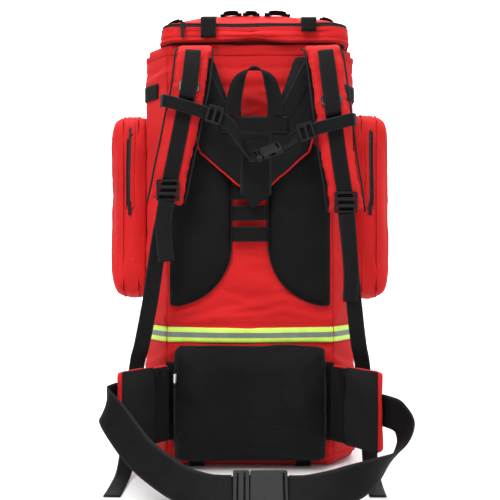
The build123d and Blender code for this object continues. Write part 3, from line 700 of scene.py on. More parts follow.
# ---------------------------------------------------------------- main bag shell
BACK_HALF, SIDE_HALF, BACK_Y, FRONT_Y = 0.137, 0.178, -0.125, 0.125
WALL_TOP = 0.683
OUTLINE = [(BACK_HALF, BACK_Y), (SIDE_HALF, -0.070), (SIDE_HALF, 0.080), (0.150, FRONT_Y)]
OUTLINE += [(-x, y) for x, y in reversed(OUTLINE)]
CORNER_RADIUS, ARC_STEPS, RING_SPACING = 0.016, 8, 0.006


def rounded_outline():
    """The plan outline with rounded corners: points, and outward directions."""
    count = len(OUTLINE)
    points = []
    for i in range(count):
        a, b, c = (np.array(OUTLINE[(i + k) % count]) for k in (-1, 0, 1))
        u, v = (a - b) / np.linalg.norm(a - b), (c - b) / np.linalg.norm(c - b)
        cut = CORNER_RADIUS / math.tan(math.acos(float(np.dot(u, v))) / 2)
        start, end = b + u * cut, b + v * cut
        for k in range(ARC_STEPS + 1):
            t = k / ARC_STEPS
            points.append((1 - t) ** 2 * start + 2 * t * (1 - t) * b + t**2 * end)
    out = []
    for a, b in zip(points, points[1:] + points[:1]):
        steps = max(1, int(np.linalg.norm(b - a) / RING_SPACING))
        out += [a + (b - a) * k / steps for k in range(steps)]
    ring = np.array(out)
    run = np.roll(ring, -1, 0) - np.roll(ring, 1, 0)
    away = np.stack((run[:, 1], -run[:, 0]), 1)
    away /= np.linalg.norm(away, axis=1, keepdims=True)
    if np.mean(np.sum(away * ring, 1)) < 0:
        away = -away
    return ring, away


def seam(x, at, width):
    """1 on a seam line, falling to 0 at width from it."""
    return np.exp(-(((x - at) / width) ** 2))


# Diagonal pulls in the slack cloth: place (x, z), slope, half length, width and height
FOLDS = [
    (0.000, 0.264, 0.24, 0.070, 0.0060, 0.0024), (-0.050, 0.286, -0.36, 0.050, 0.0050, 0.0020),
    (0.060, 0.300, 0.50, 0.040, 0.0050, 0.0018), (0.020, 0.338, -0.20, 0.035, 0.0045, 0.0015),
    (-0.030, 0.248, 0.08, 0.080, 0.0038, 0.0014), (0.090, 0.252, -0.15, 0.050, 0.0050, 0.0018),
    (-0.100, 0.258, 0.30, 0.040, 0.0055, 0.0020), (0.030, 0.600, -0.32, 0.045, 0.0060, 0.0020),
    (-0.028, 0.572, 0.42, 0.040, 0.0060, 0.0020), (0.010, 0.545, -0.15, 0.050, 0.0070, 0.0018),
    (-0.150, 0.650, 0.35, 0.030, 0.0060, 0.0020), (0.155, 0.640, -0.40, 0.030, 0.0060, 0.0022),
    (-0.158, 0.345, 0.80, 0.022, 0.0060, 0.0024), (0.160, 0.330, -0.70, 0.022, 0.0060, 0.0024),
    (-0.160, 0.280, -0.60, 0.022, 0.0060, 0.0022), (0.157, 0.268, 0.80, 0.022, 0.0065, 0.0024),
    (-0.152, 0.175, 0.50, 0.028, 0.0060, 0.0026), (0.154, 0.168, -0.60, 0.028, 0.0060, 0.0026),
    (-0.156, 0.115, -0.45, 0.028, 0.0065, 0.0024), (0.152, 0.100, 0.55, 0.028, 0.0060, 0.0024),
    (0.120, 0.190, 0.20, 0.040, 0.0045, 0.0016), (-0.125, 0.060, 0.25, 0.040, 0.0060, 0.0020),
]


def bag_wall(z):
    """Outward displacement of the bag's wall at one height, in metres."""
    x, y = ring[:, 0], ring[:, 1]
    back = (y < BACK_Y + 0.004) & (np.abs(x) < BACK_HALF)
    side = np.abs(x) > SIDE_HALF - 0.003
    front = y > FRONT_Y - 0.004
    up = (z - 0.006) / 0.679
    belly = math.sin(math.pi * min(max(up, 0), 1)) ** 0.6
    swell = np.zeros(len(x))
    swell[side] = 0.0035 * belly * np.cos((y[side] - 0.005) / 0.075 * math.pi / 2)
    swell[front] = 0.0060 * belly * np.cos(x[front] / 0.150 * math.pi / 2)
    swell[back] = 0.0008 * belly

    def rough(scale, shift, gain, octaves):
        places = [Vector((a * scale[0], b * scale[1], z * scale[2])) + Vector(shift) for a, b in ring]
        return np.array([noise.fractal(place, gain, 2.0, octaves) for place in places])

    broad = rough((7, 7, 7), (3, 1, 5), 0.9, 2)
    slack = rough((9, 9, 34), (0, 0, 9), 0.8, 3)
    fine = rough((42, 42, 42), (0, 0, 0), 0.9, 2)
    low = seam(z, 0.290, 0.075) + 0.35 * seam(z, 0.120, 0.07) + 0.30
    d = swell + 0.0016 * broad + 0.0034 * low * slack + 0.0004 * fine
    for fold_x, fold_z, slope, half, width, tall in FOLDS:
        across = (z - fold_z - slope * (x - fold_x)) / (width * math.hypot(1, slope))
        reach = np.exp(-(((x - fold_x) / half) ** 2)) * (y < -0.066)
        d += 1.5 * tall * reach * (np.exp(-(across**2)) - 0.45 * np.exp(-((across - 1.7) ** 2)))
    d -= 0.0022 * seam(z, 0.628, 0.006) * np.where(back, 1.0, 0.4)  # slack fold under the lid
    d += 0.0016 * seam(z, 0.643, 0.009) * np.where(back, 1.0, 0.4)
    d -= 0.0020 * seam(z, 0.660, 0.0018)  # seam of the top band
    d -= 0.0022 * (seam(z, 0.2045, 0.0022) + seam(z, 0.2335, 0.0022))  # tape sewn on
    for sign in (1, -1):
        d -= 0.0022 * seam(x, sign * BACK_HALF, 0.0022) * (y < BACK_Y + 0.01)
        d -= 0.0018 * seam(y, 0.080, 0.0025) * (np.abs(x - sign * SIDE_HALF) < 0.01)
    return np.clip(d, -0.006, 0.0075)


def bag_shell():
    """The bag's outside and inside in one piece, open at the top."""
    verts, rows = [], []

    def add_row(points, z):
        rows.append(range(len(verts), len(verts) + len(points)))
        verts.extend((p[0], p[1], z) for p in points)

    for inward, z in ((0.060, 0.0008), (0.030, 0.0006), (0.014, 0.0010),
                      (0.0065, 0.0035), (0.0022, 0.0085), (0.0006, 0.0135)):
        add_row(ring - away * inward, z)
    for z in np.linspace(0.0185, WALL_TOP, 168):
        add_row(ring + away * bag_wall(z)[:, None], z)
    lip = bag_wall(WALL_TOP)[:, None]
    for inward, z in ((0.0008, 0.6848), (0.0030, 0.6855), (0.0050, 0.6840)):
        add_row(ring + away * (lip - inward), z)
    inner_from = len(rows) - 1
    for z in (0.66, 0.5, 0.3, 0.1, 0.02, 0.0085):
        add_row(ring - away * 0.0062, z)
    faces = ring_strip(rows)
    for row, flip in ((rows[0], True), (rows[-1], False)):
        middle = len(verts)
        verts.append(tuple(np.array([verts[i] for i in row]).mean(0)))
        for k in range(len(row)):
            n = (k + 1) % len(row)
            faces.append((row[n], row[k], middle) if flip else (row[k], row[n], middle))
    shell = make(
        "bag_shell", verts, faces, RED, "bag",
        ("back_panel", "front_panel", "side_panel_left", "side_panel_right", "base_panel"),
        "red_fabric",
    )
    line_inside(shell, set(range(rows[inner_from][0], rows[-1][-1] + 1)) | {len(verts) - 1})


def line_inside(obj, inside):
    """Gives the faces whose vertices are all inside the dark lining."""
    obj.data.materials.append(LINING)
    for p in obj.data.polygons:
        if inside.issuperset(p.vertices):
            p.material_index = 1


def bag_band(name, low, high, thick, material, slot, replaces=(), part=None, dip=None):
    """Tape or webbing laid on the bag's wall between two heights."""
    rows_z = np.linspace(low, high, 9)
    verts, uv, rows = [], [], []
    index = np.arange(len(ring))
    if part is not None:
        index = np.nonzero(part(ring[:, 0], ring[:, 1]))[0]
        gaps = np.nonzero(np.diff(index) > 1)[0]
        if len(gaps):
            index = np.concatenate((index[gaps[0] + 1:], index[: gaps[0] + 1]))
    walls = [bag_wall(z) for z in rows_z]
    base = np.max(walls, axis=0) if thick > 0.001 else np.array(walls).mean(0)
    gone, before = 0.0, ring[index[0]]
    for i in index:
        p = ring[i]
        gone += float(np.linalg.norm(p - before))
        before = p
        drop = 0.0 if dip is None else dip(p[0], p[1])
        outer = [(z, max(base[i], wall[i]) + thick * (0.75 if k in (0, 8) else 1.0))
                 for k, (z, wall) in enumerate(zip(rows_z, walls))]
        inner = [(z, wall[i] - 0.0006) for z, wall in zip(rows_z[::-1], walls[::-1])]
        rows.append(range(len(verts), len(verts) + 18))
        for z, off in outer + inner:
            q = p + away[i] * off
            verts.append((q[0], q[1], z + drop))
            uv.append((gone, z - (low + high) / 2))
    faces = ring_strip(rows, closed=True) if part is None else capped(rows)
    return make(name, verts, faces, material, "bag", replaces, slot, uv)


ring, away = rounded_outline()
bag_shell()

bag_band(
    "reflective_tape", 0.2065, 0.2315, 0.0009, TAPE, "reflective_tape", ("reflective_band",),
    dip=lambda x, y: -0.0022 * math.cos(min(abs(x) / 0.137, 1) * math.pi / 2) if y < -0.12 else 0.0,
)
for word, side in reversed(SIDES):
    bag_band(
        f"upper_side_webbing_{word}", 0.612, 0.637, 0.0018, WEB25, "black_webbing",
        ("side_webbing",), part=lambda x, y, s=side: (x * s > 0.1495) & (y < 0.124),
    )
bag_band("top_band_binding", 0.6795, 0.6868, 0.0011, BINDING, "red_fabric")
for word, side in reversed(SIDES):
    at = side * BACK_HALF
    i = int(np.argmin(np.abs(ring[:, 0] - at) + 10 * (ring[:, 1] > BACK_Y + 0.01)))
    line = [(*(ring[i] + away[i] * (bag_wall(z)[i] + 0.0006)), z) for z in np.linspace(0.03, 0.68, 70)]
    tubes(f"back_seam_piping_{word}", [np.array(line) / MM], 0.0011, RED_DEEP)
bottom = [(p[0], p[1], 0.0165) for p in (ring + away * 0.0004)]
tubes("base_piping", [np.array(bottom + bottom[:1]) / MM], 0.0026, RED_DEEP)

collar_rows = ((0.0042, 0.6835), (0.0043, 0.690), (0.0046, 0.6972), (0.0058, 0.6982), (0.0070, 0.6972),
               (0.0078, 0.688), (0.0080, 0.660), (0.0080, 0.612), (0.0070, 0.606), (0.0058, 0.640))
verts, rows = [], []
for inward, z in collar_rows:
    rows.append(range(len(verts), len(verts) + len(ring)))
    for p, q in zip(ring, away):
        pucker = noise.fractal(Vector((p[0] * 38, p[1] * 38, z * 9)), 0.9, 2.0, 2)
        slack = 0.0005 * pucker * (z > 0.69)
        verts.append((*(p - q * (inward + slack)), z + slack))
collar = make("storm_collar", verts, ring_strip(rows, closed=True), RED, "bag", ("collar",), "red_fabric")
line_inside(collar, set(range(4 * len(ring), len(verts))))


# ---------------------------------------------------------------- back system
MIDDLE_X = 7.0  # of the harness, which stands a little to the right


for word, side in SIDES:
    pad = pad_piece(
        f"mesh_back_pad_{word}", f"back_pad_{word}", MESH, "bag", "black_mesh_padding",
        voxel=0.004, cap=0.005,
        shape=lambda o: crowned(o, (0, -1, 0), 0.1254, 0.022, 0.35),
        held=lambda co: np.clip((co[:, 1] + 0.130) / 0.003, 0, 1),
    )
    arc = [(side * 29, -130.5, z) for z in (556, 460, 368)]
    for k in range(1, 12):
        a = math.radians(90 * k / 11)
        arc.append((side * (132 - 103 * math.cos(a)), -130.5, 368 - 103 * math.sin(a)))
    band(f"back_pad_binding_{word}", snap(surface(pad), arc, 0.4), (0, -1, 0), 5.0, 2.0, THREAD_BLACK, "bag")

rung = ((-29.5, -139.6), (-10, -142.6), (10, -142.6), (29.5, -139.6))
rungs = [[(x, y, z) for x, y in rung] for z in range(384, 521, 34)]
webs("torso_ladder_webbing", rungs, (0, 0, 1), ("torso_ladder",))


def tongue():
    """The pointed 50 mm tongue: folded and box-stitched at the top, cut to a V below."""
    verts, uv, rows = [], [], []
    for z in np.linspace(0.5475, 0.425, 50):
        half = 0.0252 if z > 0.448 else 0.0252 * (z - 0.4245) / 0.0235
        middle = 0.0095 - 0.005 * max(0.0, (0.448 - z) / 0.0235)
        thick = 0.0036 if z > 0.536 else 0.0019
        curl = 0.0012 * math.sin((0.5475 - z) * 45)
        section = band_profile(2 * max(half, 0.0006), thick, 11)
        rows.append(range(len(verts), len(verts) + len(section)))
        for x, y in section:
            bend = 0.0016 * math.cos(x / 0.025 * 1.4)
            verts.append((middle + x, -0.1556 - y - curl - bend, z))
            uv.append((z, x))
    make("torso_tongue_webbing", verts, capped(rows), WEB50, "bag", ("torso_tongue",), "black_webbing", uv)
    box = [(x, -159.9, z) for x, z in ((-12, 543), (31, 543), (31, 530), (-12, 530), (-12, 543))]
    stitches("tongue_stitching", [box[i:i + 2] for i in range(4)], THREAD_BLACK, "bag", "black_webbing")


tongue()

yoke = pad_piece(
    "padded_yoke", "yoke_pad", MESH_FINE, "bag", "black_mesh_padding", voxel=0.0045, cap=0.0018,
    shape=lambda o: crowned(o, (0, -1, 0), 0.1425, 0.016, 0.5), creases=0.0009,
)

yoke_tree = surface(yoke)


def yoke_edge(points, side):
    """A stretch of the yoke's piped edge, from its (x, z) places on the right side."""
    line = smooth_line([np.array((MIDDLE_X + side * x, -150.5, z)) for x, z in points], 6.0)
    return snap(yoke_tree, line, 0.6)


YOKE_EDGES = [[(22, 458), (50, 481), (91, 516)], [(91, 517), (110, 592), (129, 668)]]
tubes("yoke_piping", [yoke_edge(points, side) for side in (1, -1) for points in YOKE_EDGES],
      0.0017, RED_DEEP, slot="red_padding")
YOKE_ARM = ((34, -156, 552), (62, -156, 600), (82, -156, 640), (98, -155, 668))
for word, side in SIDES:
    line = drop(yoke_tree, [(MIDDLE_X + side * x, y, z) for x, y, z in YOKE_ARM], (0, 1, 0), 0.9)
    band(f"yoke_arm_webbing_{word}", line, (1, 0, -side * 0.5), 25, 1.6, WEB25, "bag")
cross = [(x, -156.0 - 1.6 * (abs(x - 7) < 40), 560) for x in np.linspace(-50, 62, 9)]
cross = [(p[0], min(p[1], q[1]), p[2]) for p, q in zip(cross, drop(yoke_tree, cross, (0, 1, 0), 1.2))]
band("yoke_cross_band", eased(cross), (0, 0, 1), 27, 1.8, WEB25, "bag", ("handle_base",))
HANDLE = [((-33, -158.8, 573.8), (1, 0, 0)), ((-33, -160, 596), (1, -0.1, 0)),
          ((-25, -164, 628), (0.85, -0.5, 0.1)), ((-9, -168, 646), (0.3, -0.95, 0))]
rise = [((MIDDLE_X + x, y, z), w) for (x, y, z), w in HANDLE]
fall = [((MIDDLE_X - x, y, z), (-a, b, c)) for (x, y, z), (a, b, c) in reversed(HANDLE)]
band("haul_handle_webbing", [p for p, _ in rise + fall], [w for _, w in rise + fall], 25, 2.8,
     WEB25, "handle", ("haul_handle",), step=0.003)

# ---------------------------------------------------------------- shoulder harness
DROP = [(-149, 684), (-163, 678), (-170, 655), (-176, 612),
        (-180, 568), (-181, 531), (-180, 495), (-177, 456)]
STRAP_X = {
    "left": [-88, -89, -91, -96, -105, -112, -120, -128, -134],
    "right": [113, 117, 121, 126, 131, 136, 141, 148, 153],
}
STRAP_END = {"left": (-174, 432), "right": (-174, 418)}
LOCK_Z = {"left": 452.0, "right": 433.0}
LIFTER_END = {"left": 594.0, "right": 566.0}


def strap_line(word):
    """The middle of a shoulder strap, from the yoke down to its ladder lock."""
    return [(x, y, z) for x, (y, z) in zip(STRAP_X[word], DROP + [STRAP_END[word]])]


def off_strap(points, amount):
    """The same line moved off the strap's outer face."""
    p = [np.array(q, float) for q in points]
    out = []
    for i, q in enumerate(p):
        run = p[min(i + 1, len(p) - 1)] - p[max(i - 1, 0)]
        face = np.cross((1.0, 0, 0), run)
        face /= np.linalg.norm(face)
        out.append(q - face * amount)
    return out


def part_of(points, high, low):
    """The stretch of a smooth descending line between two heights."""
    return [p for p in smooth_line(points, 3.0) if low <= p[2] <= high]


def thin(points, count):
    """As many points as asked for, spread evenly over a long list."""
    return [points[round(i * (len(points) - 1) / (count - 1))] for i in range(count)]


def strap_profile(width, low, high, round_by):
    """Section of a padded strap, in metres: its height from low to high, with soft edges."""
    half = width / 2
    xs = np.linspace(-half + round_by, half - round_by, 13)
    crown = [1 - 0.16 * (x / half) ** 2 for x in xs]
    top = [(x, high * c) for x, c in zip(xs, crown)]
    edge = []
    for k in range(1, 6):
        a = math.pi / 2 - math.pi * k / 6
        middle, tall = (high + low) / 2, (high - low) / 2 * 0.84
        edge.append((half - round_by + round_by * math.cos(a), middle + tall * math.sin(a)))
    base = [(x, low * c) for x, c in zip(xs[::-1], crown[::-1])]
    left = [(-x, y) for x, y in reversed(edge)]
    return [(x * MM, y * MM) for x, y in top + edge + base + left]


def strap_puckers(word):
    """Puckers where the strap's red cloth is sewn to its edges."""
    line = np.array(strap_line(word))[::-1] * MM

    def shaped(co):
        off = co[:, 0] - np.interp(co[:, 2], line[:, 2], line[:, 0])
        edge = np.clip((np.abs(off) - 0.014) / 0.012, 0, 1)
        slack = noise_field(co * np.array((0.25, 0.25, 1.0)), 75.0, 21.0, 2)
        co[:, 1] -= edge * slack * 0.0026
        co[:, 0] += np.sign(off) * edge * slack * 0.0016
        return co

    return shaped


def beside(line, off):
    """The line moved sideways."""
    return [p + np.array((off, 0, 0)) for p in line]


def red_strap(word, body):
    """A padded shoulder strap with its lining, piping and stitching; gives its search tree."""
    line = strap_line(word)
    name = f"padded_strap_{word}"
    obj = band(name, line, (1, 0, 0), 60, 8, RED_DEEP, None, profile=strap_profile(60, -3.0, 5.4, 3.4))
    pad_piece(name, (f"shoulder_strap_{word}",), RED_DEEP, body, "red_padding", voxel=0.004,
              pressure=3.0, cap=0.0025, source=obj, creases=0.0014,
              after=strap_puckers(word))
    name = f"strap_lining_{word}"
    lining = band(name, off_strap(line, -3.1), (1, 0, 0), 58, 5, MESH_FINE, None,
                  profile=strap_profile(58, -3.0, 2.6, 2.4))
    pad_piece(name, (), MESH_FINE, body, "black_mesh_padding", voxel=0.004,
              pressure=2.0, cap=0.0015, source=lining, creases=0.0005)
    tree = surface(obj)
    edges = [beside(smooth_line(off_strap(line, -1.0), 8.0), s * 30.2) for s in (-1, 1)]
    tubes(f"strap_piping_{word}", edges, 0.0016, THREAD_BLACK, body, "black_webbing")
    middle = smooth_line(off_strap(line, 6.0), 6.0)[3:]
    rows = [drop(tree, beside(middle, s * 24.5), (0, 1, 0), 0.15) for s in (-1, 1)]
    stitches(f"strap_stitching_{word}", rows, THREAD_RED, body, "red_padding")
    return tree


strap_trees = {word: red_strap(word, "harness") for word, _ in SIDES}

layers = []
for word, _ in SIDES:
    line = thin(part_of(off_strap(strap_line(word), 8.0), 655.0, LOCK_Z[word] + 12.0), 12)
    laid = drop(strap_trees[word], line, (0, 1, 0), 1.1)
    line = eased([np.array((p[0], min(p[1], q[1]), p[2])) for p, q in zip(line, laid)], 2)
    layers.append(band("web", line, (1, 0, 0), 25, 1.8, WEB25, None))
for word, _ in SIDES:
    line = thin(part_of(off_strap(strap_line(word), 6.6), LOCK_Z[word] + 16.0, LOCK_Z[word] - 15.0), 6)
    line = eased(drop(strap_trees[word], line, (0, 1, 0), 0.8), 2)
    line.append(line[-1] + np.array((0.6, -0.4, -9.0)))
    layers.append(band("under", line, (1, 0, 0), 24, 1.2, WEB25, None))
join("strap_centre_webbing", layers, "harness", ("strap_webbing",), "black_webbing")

layers = []
for word, _ in SIDES:
    line = thin(part_of(off_strap(strap_line(word), 14.6), 676.0, LIFTER_END[word]), 9)
    line = [p + np.array((0, -1.5 * math.sin(i / 8 * math.pi), 0)) for i, p in enumerate(line)]
    layers.append(band("lift", line, (1, 0, 0), 25, 1.8, WEB25, None, cup=0.6))
join("load_lifter_webbing", layers, "harness", ("load_lifters",), "black_webbing")

TAILS = {
    "left": [(-131, -194.5, 434), (-135, -197, 405), (-134, -200, 375), (-129, -207, 340)],
    "right": [(152, -194, 414), (155, -195, 370), (158, -195, 320), (157, -193, 277)],
}
RUNS = {
    "left": [(-130.5, -182.2, 441), (-132, -182.5, 429), (-143, -184, 374), (-157, -184, 279),
             (-172, -172, 208), (-182, -153, 176), (-190, -154, 110), (-195, -160, 48),
             (-197, -190, 12), (-199, -235, 3), (-200, -287, 2.0)],
    "right": [(151.5, -182.2, 421), (152, -182.5, 408), (158, -184, 347), (165, -184, 264),
              (173, -172, 208), (181, -153, 176), (188, -154, 110), (191, -160, 48),
              (190, -190, 12), (188, -235, 3), (185, -287, 2.0)],
}
for word, _ in SIDES:
    waver = [(1, 0.12 * math.sin(i * 1.3 - 1.3), 0) for i in range(11)]
    long_run = band("run", RUNS[word], waver, 25, 1.8, WEB25, None)
    twist = [(1, 0.25 * i / 3, 0.05 * i) for i in range(4)]
    tail = band("tail", TAILS[word], twist, 25, 1.8, WEB25, None, cup=0.8)
    x, _, z = TAILS[word][0]
    loop = [(x, -182.0, z - 4), (x, -184.5, z - 9), (x, -190.5, z - 9), (x, -194.5, z - 1)]
    bend = band("bend", loop, (1, 0, 0), 25, 1.8, WEB25, None, step=0.002)
    both = join(f"lower_strap_webbing_{word}", [long_run, tail, bend], None, slot="black_webbing")
    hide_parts(f"lower_webbing_{word}")
    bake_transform(both)

tabs = []
for side, at in ((-1, 188.6), (1, 186.6)):
    places = ((at, -146.6), (186.5, -110), (182.6, -68), (181.4, -30))
    tabs.append([(side * x, y, 92) for x, y in places])
webs("side_anchor_tabs", tabs, (0, 0, 1), ("anchor_tabs",))

# ---------------------------------------------------------------- chest strap
CHEST = {
    "left": [(-141, -183, 592), (-132, -201, 590), (-104, -204, 582), (-70, -198, 572),
             (-40, -195, 561), (-18, -192, 534)],
    "right": [(167, -184, 563), (158, -201, 561), (128, -204, 553), (100, -199, 546), (76, -195, 538)],
}
CHEST_ACROSS = {
    "left": [(0, 0, 1), (0.2, 0, 1), (0.26, 0, 1), (0.26, 0, 1), (0.3, 0.1, 1), (0.4, 0.4, 0.8)],
    "right": [(0, 0, 1), (-0.2, 0, 1), (-0.26, 0, 1), (-0.26, 0, 1), (-0.3, 0.2, 1)],
}
axis = np.array((0.93, 0.0, 0.36))
axis /= np.linalg.norm(axis)
mouth = np.array((18.0, -190.0, 508.0))
chest_ends = {"left": mouth - axis * 11.9, "right": mouth + axis * 34.2}
for word, way in SIDES:
    end = chest_ends[word]
    line = CHEST[word] + [tuple(end + way * axis * 8), tuple(end)]
    across = CHEST_ACROSS[word] + [(-0.2, 0.86, 0.5)] * 2
    piece = band(f"chest_webbing_{word}", line, across, 20, 1.8, WEB20, None, step=0.003)
    dress(piece, None if word == "left" else "harness", (f"sternum_webbing_{word}",), "black_webbing")
    if word == "left":
        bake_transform(piece)

# ---------------------------------------------------------------- hip belt
def lumbar_form(co):
    """The pad's foam swells a little past its seams."""
    middle = np.array((0.0, 0.0, 0.110))
    return middle + (co - middle) * np.array((1.02, 1.0, 1.02))


lumbar = pad_piece(
    "padded_lumbar", "lumbar_pad", MESH, "bag", "black_mesh_padding", voxel=0.005, cap=0.008,
    shape=lambda o: lumbar_form(crowned(o, (0, -1, 0), 0.147, 0.030, 0.45)), creases=0.0010,
    held=lambda co: np.clip((co[:, 1] + 0.149) / 0.003, 0, 1),
)
EDGE = [(106, 199.5), (119, 186), (119, 34), (106, 20.5)]
EDGE = [(-106, 199.5)] + EDGE + [(-x, z) for x, z in reversed(EDGE)]
lumbar_edge = smooth_line([np.array((x, -150.0, z)) for x, z in EDGE], 8.0)
tubes("lumbar_binding", [snap(surface(lumbar), lumbar_edge, 0.6)], 0.0019, THREAD_BLACK, slot="black_webbing")

WING_ROOT, WING_TIP = np.array((134.0, -141.0)), np.array((202.0, -224.0))


def wing_frame(side):
    """A hip wing's root, and its directions along and towards the wearer, seen from above."""
    run = (WING_TIP - WING_ROOT) / np.linalg.norm(WING_TIP - WING_ROOT)
    inward = np.array((run[1], -run[0]))
    flip = np.array((side, 1.0))
    return WING_ROOT * flip, run * flip, inward * flip


def wing_point(side, along, depth, z):
    root, run, inward = wing_frame(side)
    return (*(root + run * along + inward * depth), z)


def wing_sheet(name, side, start, stop, low, high, tree, thick, material, body):
    """A quilted mesh panel that lies on the wing's inner face, as a closed shallow cushion."""
    away = Vector((*wing_frame(side)[2], 0.0))
    cols, rows = 30, 34
    verts, uv = [], []
    for layer, j, i in product((0, 1), range(rows + 1), range(cols + 1)):
        u, v = i / cols, j / rows
        rim = min(1.0, 7 * min(u, 1 - u)) * min(1.0, 9 * min(v, 1 - v))
        rim = math.sqrt(max(0.0, 1 - (1 - rim) ** 2))
        along, z = start + (stop - start) * u, low + (high - low) * v
        above = Vector(wing_point(side, along, 40.0, z)) * MM
        gap = tree.ray_cast(above, -away, 0.04)[3]
        lift = 6.5 if gap is None else max(6.5, 40.0 - gap / MM - 0.3)
        if layer:
            lift += thick * (0.35 + 0.65 * rim) + 2.0 * rim * math.sin(math.pi * v)
            lift += 0.7 * noise.fractal(Vector((u * 5 + side, v * 7, 3)), 0.9, 2.0, 3)
        verts.append(tuple(np.array(wing_point(side, along, lift, z)) * MM))
        uv.append(((stop - start) * u * MM, (z - low) * MM))

    def at(layer, i, j):
        return layer * (cols + 1) * (rows + 1) + j * (cols + 1) + i

    faces = []
    for j, i in product(range(rows), range(cols)):
        faces.append((at(1, i, j), at(1, i + 1, j), at(1, i + 1, j + 1), at(1, i, j + 1)))
        faces.append((at(0, i, j), at(0, i, j + 1), at(0, i + 1, j + 1), at(0, i + 1, j)))
    for i in range(cols):
        faces.append((at(0, i, 0), at(0, i + 1, 0), at(1, i + 1, 0), at(1, i, 0)))
        faces.append((at(0, i + 1, rows), at(0, i, rows), at(1, i, rows), at(1, i + 1, rows)))
    for j in range(rows):
        faces.append((at(0, 0, j + 1), at(0, 0, j), at(1, 0, j), at(1, 0, j + 1)))
        faces.append((at(0, cols, j), at(0, cols, j + 1), at(1, cols, j + 1), at(1, cols, j)))
    return make(name, verts, faces, material, body, (), "black_mesh_padding", uv)


for word, side in SIDES:
    body = f"wing_{word}"
    root, run, inward = wing_frame(side)
    shell = pad_piece(
        f"wing_shell_{word}", f"hip_wing_{word}", RED_DEEP, body, "red_padding", voxel=0.0045, cap=0.003,
        creases=0.0010,
        shape=lambda o, r=root, w=inward: crowned(o, (*w, 0), float(np.dot(r * MM, w)), 0.016, 0.55),
    )
    shell_tree = surface(shell)
    wing_sheet(f"wing_mesh_inner_{word}", side, 6, 39.4, 50, 170, shell_tree, 2.2, MESH, body)
    wing_sheet(f"wing_mesh_outer_{word}", side, 39.5, 104, 48, 172, shell_tree, 2.4, MESH_FINE, body)
    line = [wing_point(side, 39, 24.0, z) for z in (48, 68, 89, 110, 131, 152, 172)]
    line = drop(shell_tree, line, -Vector((*inward, 0.0)), 2.6)
    band(f"wing_seam_{word}", eased(line, 2), (*run, 0), 7, 1.4, WEB25, body)

BELT_TILT = (0, 0.69, 0.72)
BELT = {  # stations of each half: place, and the direction of its width
    "left": [
        ((-171, -163, 130), (0, 0, 1)), ((-210, -217, 128), (0, 0, 1)),
        ((-216, -238, 123), (0.27, 0, 0.96)), ((-193, -262, 98), (0.72, 0, 0.7)),
        ((-161, -286, 66), (0.72, 0.05, 0.7)), ((-128, -306, 45), (0.5, 0.2, 0.82)),
        ((-95, -326, 31), (0.15, 0.5, 0.85)), ((-64, -343, 27.5), BELT_TILT),
        ((-40, -350, 27.5), BELT_TILT), ((-24.4, -350, 27.5), BELT_TILT),
    ],
    "right": [
        ((171, -163, 112), (0, 0, 1)), ((212, -219, 110), (0, 0, 1)), ((226, -240, 104), (0.1, 0, 1)),
        ((229, -266, 86), (0.45, -0.35, 0.82)), ((208, -291, 60), (0.45, -0.5, 0.75)),
        ((170, -315, 41), (0.2, -0.1, 0.97)), ((130, -333, 31), (0.05, 0.4, 0.9)),
        ((92, -345, 28), BELT_TILT), ((70, -350, 27.5), BELT_TILT), ((52.8, -350, 27.5), BELT_TILT),
    ],
}
BELT_CUT_Y = -0.306  # where the plug's half of the belt begins, in metres


def belt_runs(stations, cut=None, lift=0.0, start=0.0):
    """The belt's smooth line where y is below start, as one list of (place, across), or as two
    that meet at the cut; lift moves it off its own face by millimetres."""
    line = frames_along([np.array(p) * MM for p, _ in stations], [w for _, w in stations], 0.008)
    kept = line[:1]
    for frame_at in line[1:]:
        if np.linalg.norm(frame_at[0] - kept[-1][0]) > 0.006:
            kept.append(frame_at)
    kept[-1] = line[-1]
    line = [(at / MM + np.cross(run, wide) * lift, wide) for at, wide, run in kept if at[1] < start]
    if cut is None:
        return [line]
    at = next(i for i, (p, _) in enumerate(line) if p[1] * MM < cut)
    return [line[: at + 2], line[at:]]


def belt_piece(name, runs, node):
    """Layers of belt webbing as one piece, with its transform baked in."""
    layers = [band("layer", [p for p, _ in run], [w for _, w in run], width, thick, WEB50, None, step=0.005)
              for run, width, thick in runs]
    piece = join(name, layers, None, (node,) if node else (), "black_webbing")
    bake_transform(piece)


FOLD_Y, TAIL_LIFT = -0.279, 2.3  # the tail is doubled back from here on, clear of the belt by this much
main_runs = belt_runs(BELT["left"], BELT_CUT_Y)
tail_runs = belt_runs(BELT["left"], BELT_CUT_Y, TAIL_LIFT, FOLD_Y)
belt_piece("belt_strap_left", [(main_runs[0], 50, 2.0), (tail_runs[0], 49, 1.7)], "belt_webbing_left")
belt_piece("belt_strap_plug_end", [(main_runs[1], 50, 2.0), (tail_runs[1], 49, 1.7)], None)
belt_piece("belt_strap_right", [(belt_runs(BELT["right"])[0], 50, 2.0)], "belt_webbing_right")
for word, body, ends in (("plug", "hip_plug", (-33.0, 4.0)), ("socket", "bag", (42.0, 60.0))):
    line = [(x, -350.0, 27.5) for x in np.linspace(*ends, 5)]
    band(f"belt_{word}_webbing", line, BELT_TILT, 47, 1.6, WEB50, body)
for word, side in SIDES:
    line = [(side * 125.5, -131.0 - 0.7 * math.sin(z / 17.0), z) for z in np.linspace(46, 174, 9)]
    band(f"belt_gusset_{word}", line, (1, 0, 0), 25, 3.2, BLACK, "bag", slot="black_fabric")
core = copy_node("lumbar_foam_core", "belt_core")
remesh(core, 0.004)
relax(core.data, 2)
core.data.materials.clear()
core.data.materials.append(FOAM)
dress(core, "bag", ("belt_core",), "foam")
line = [(-119, -158, 152), (-121.5, -163, 152), (-122, -165, 152), (-119.5, -166.5, 152)]
band("lumbar_tag_loop", line, (0, 0, 1), 14, 1.0, LABEL, "bag", slot="black_fabric", step=0.001)

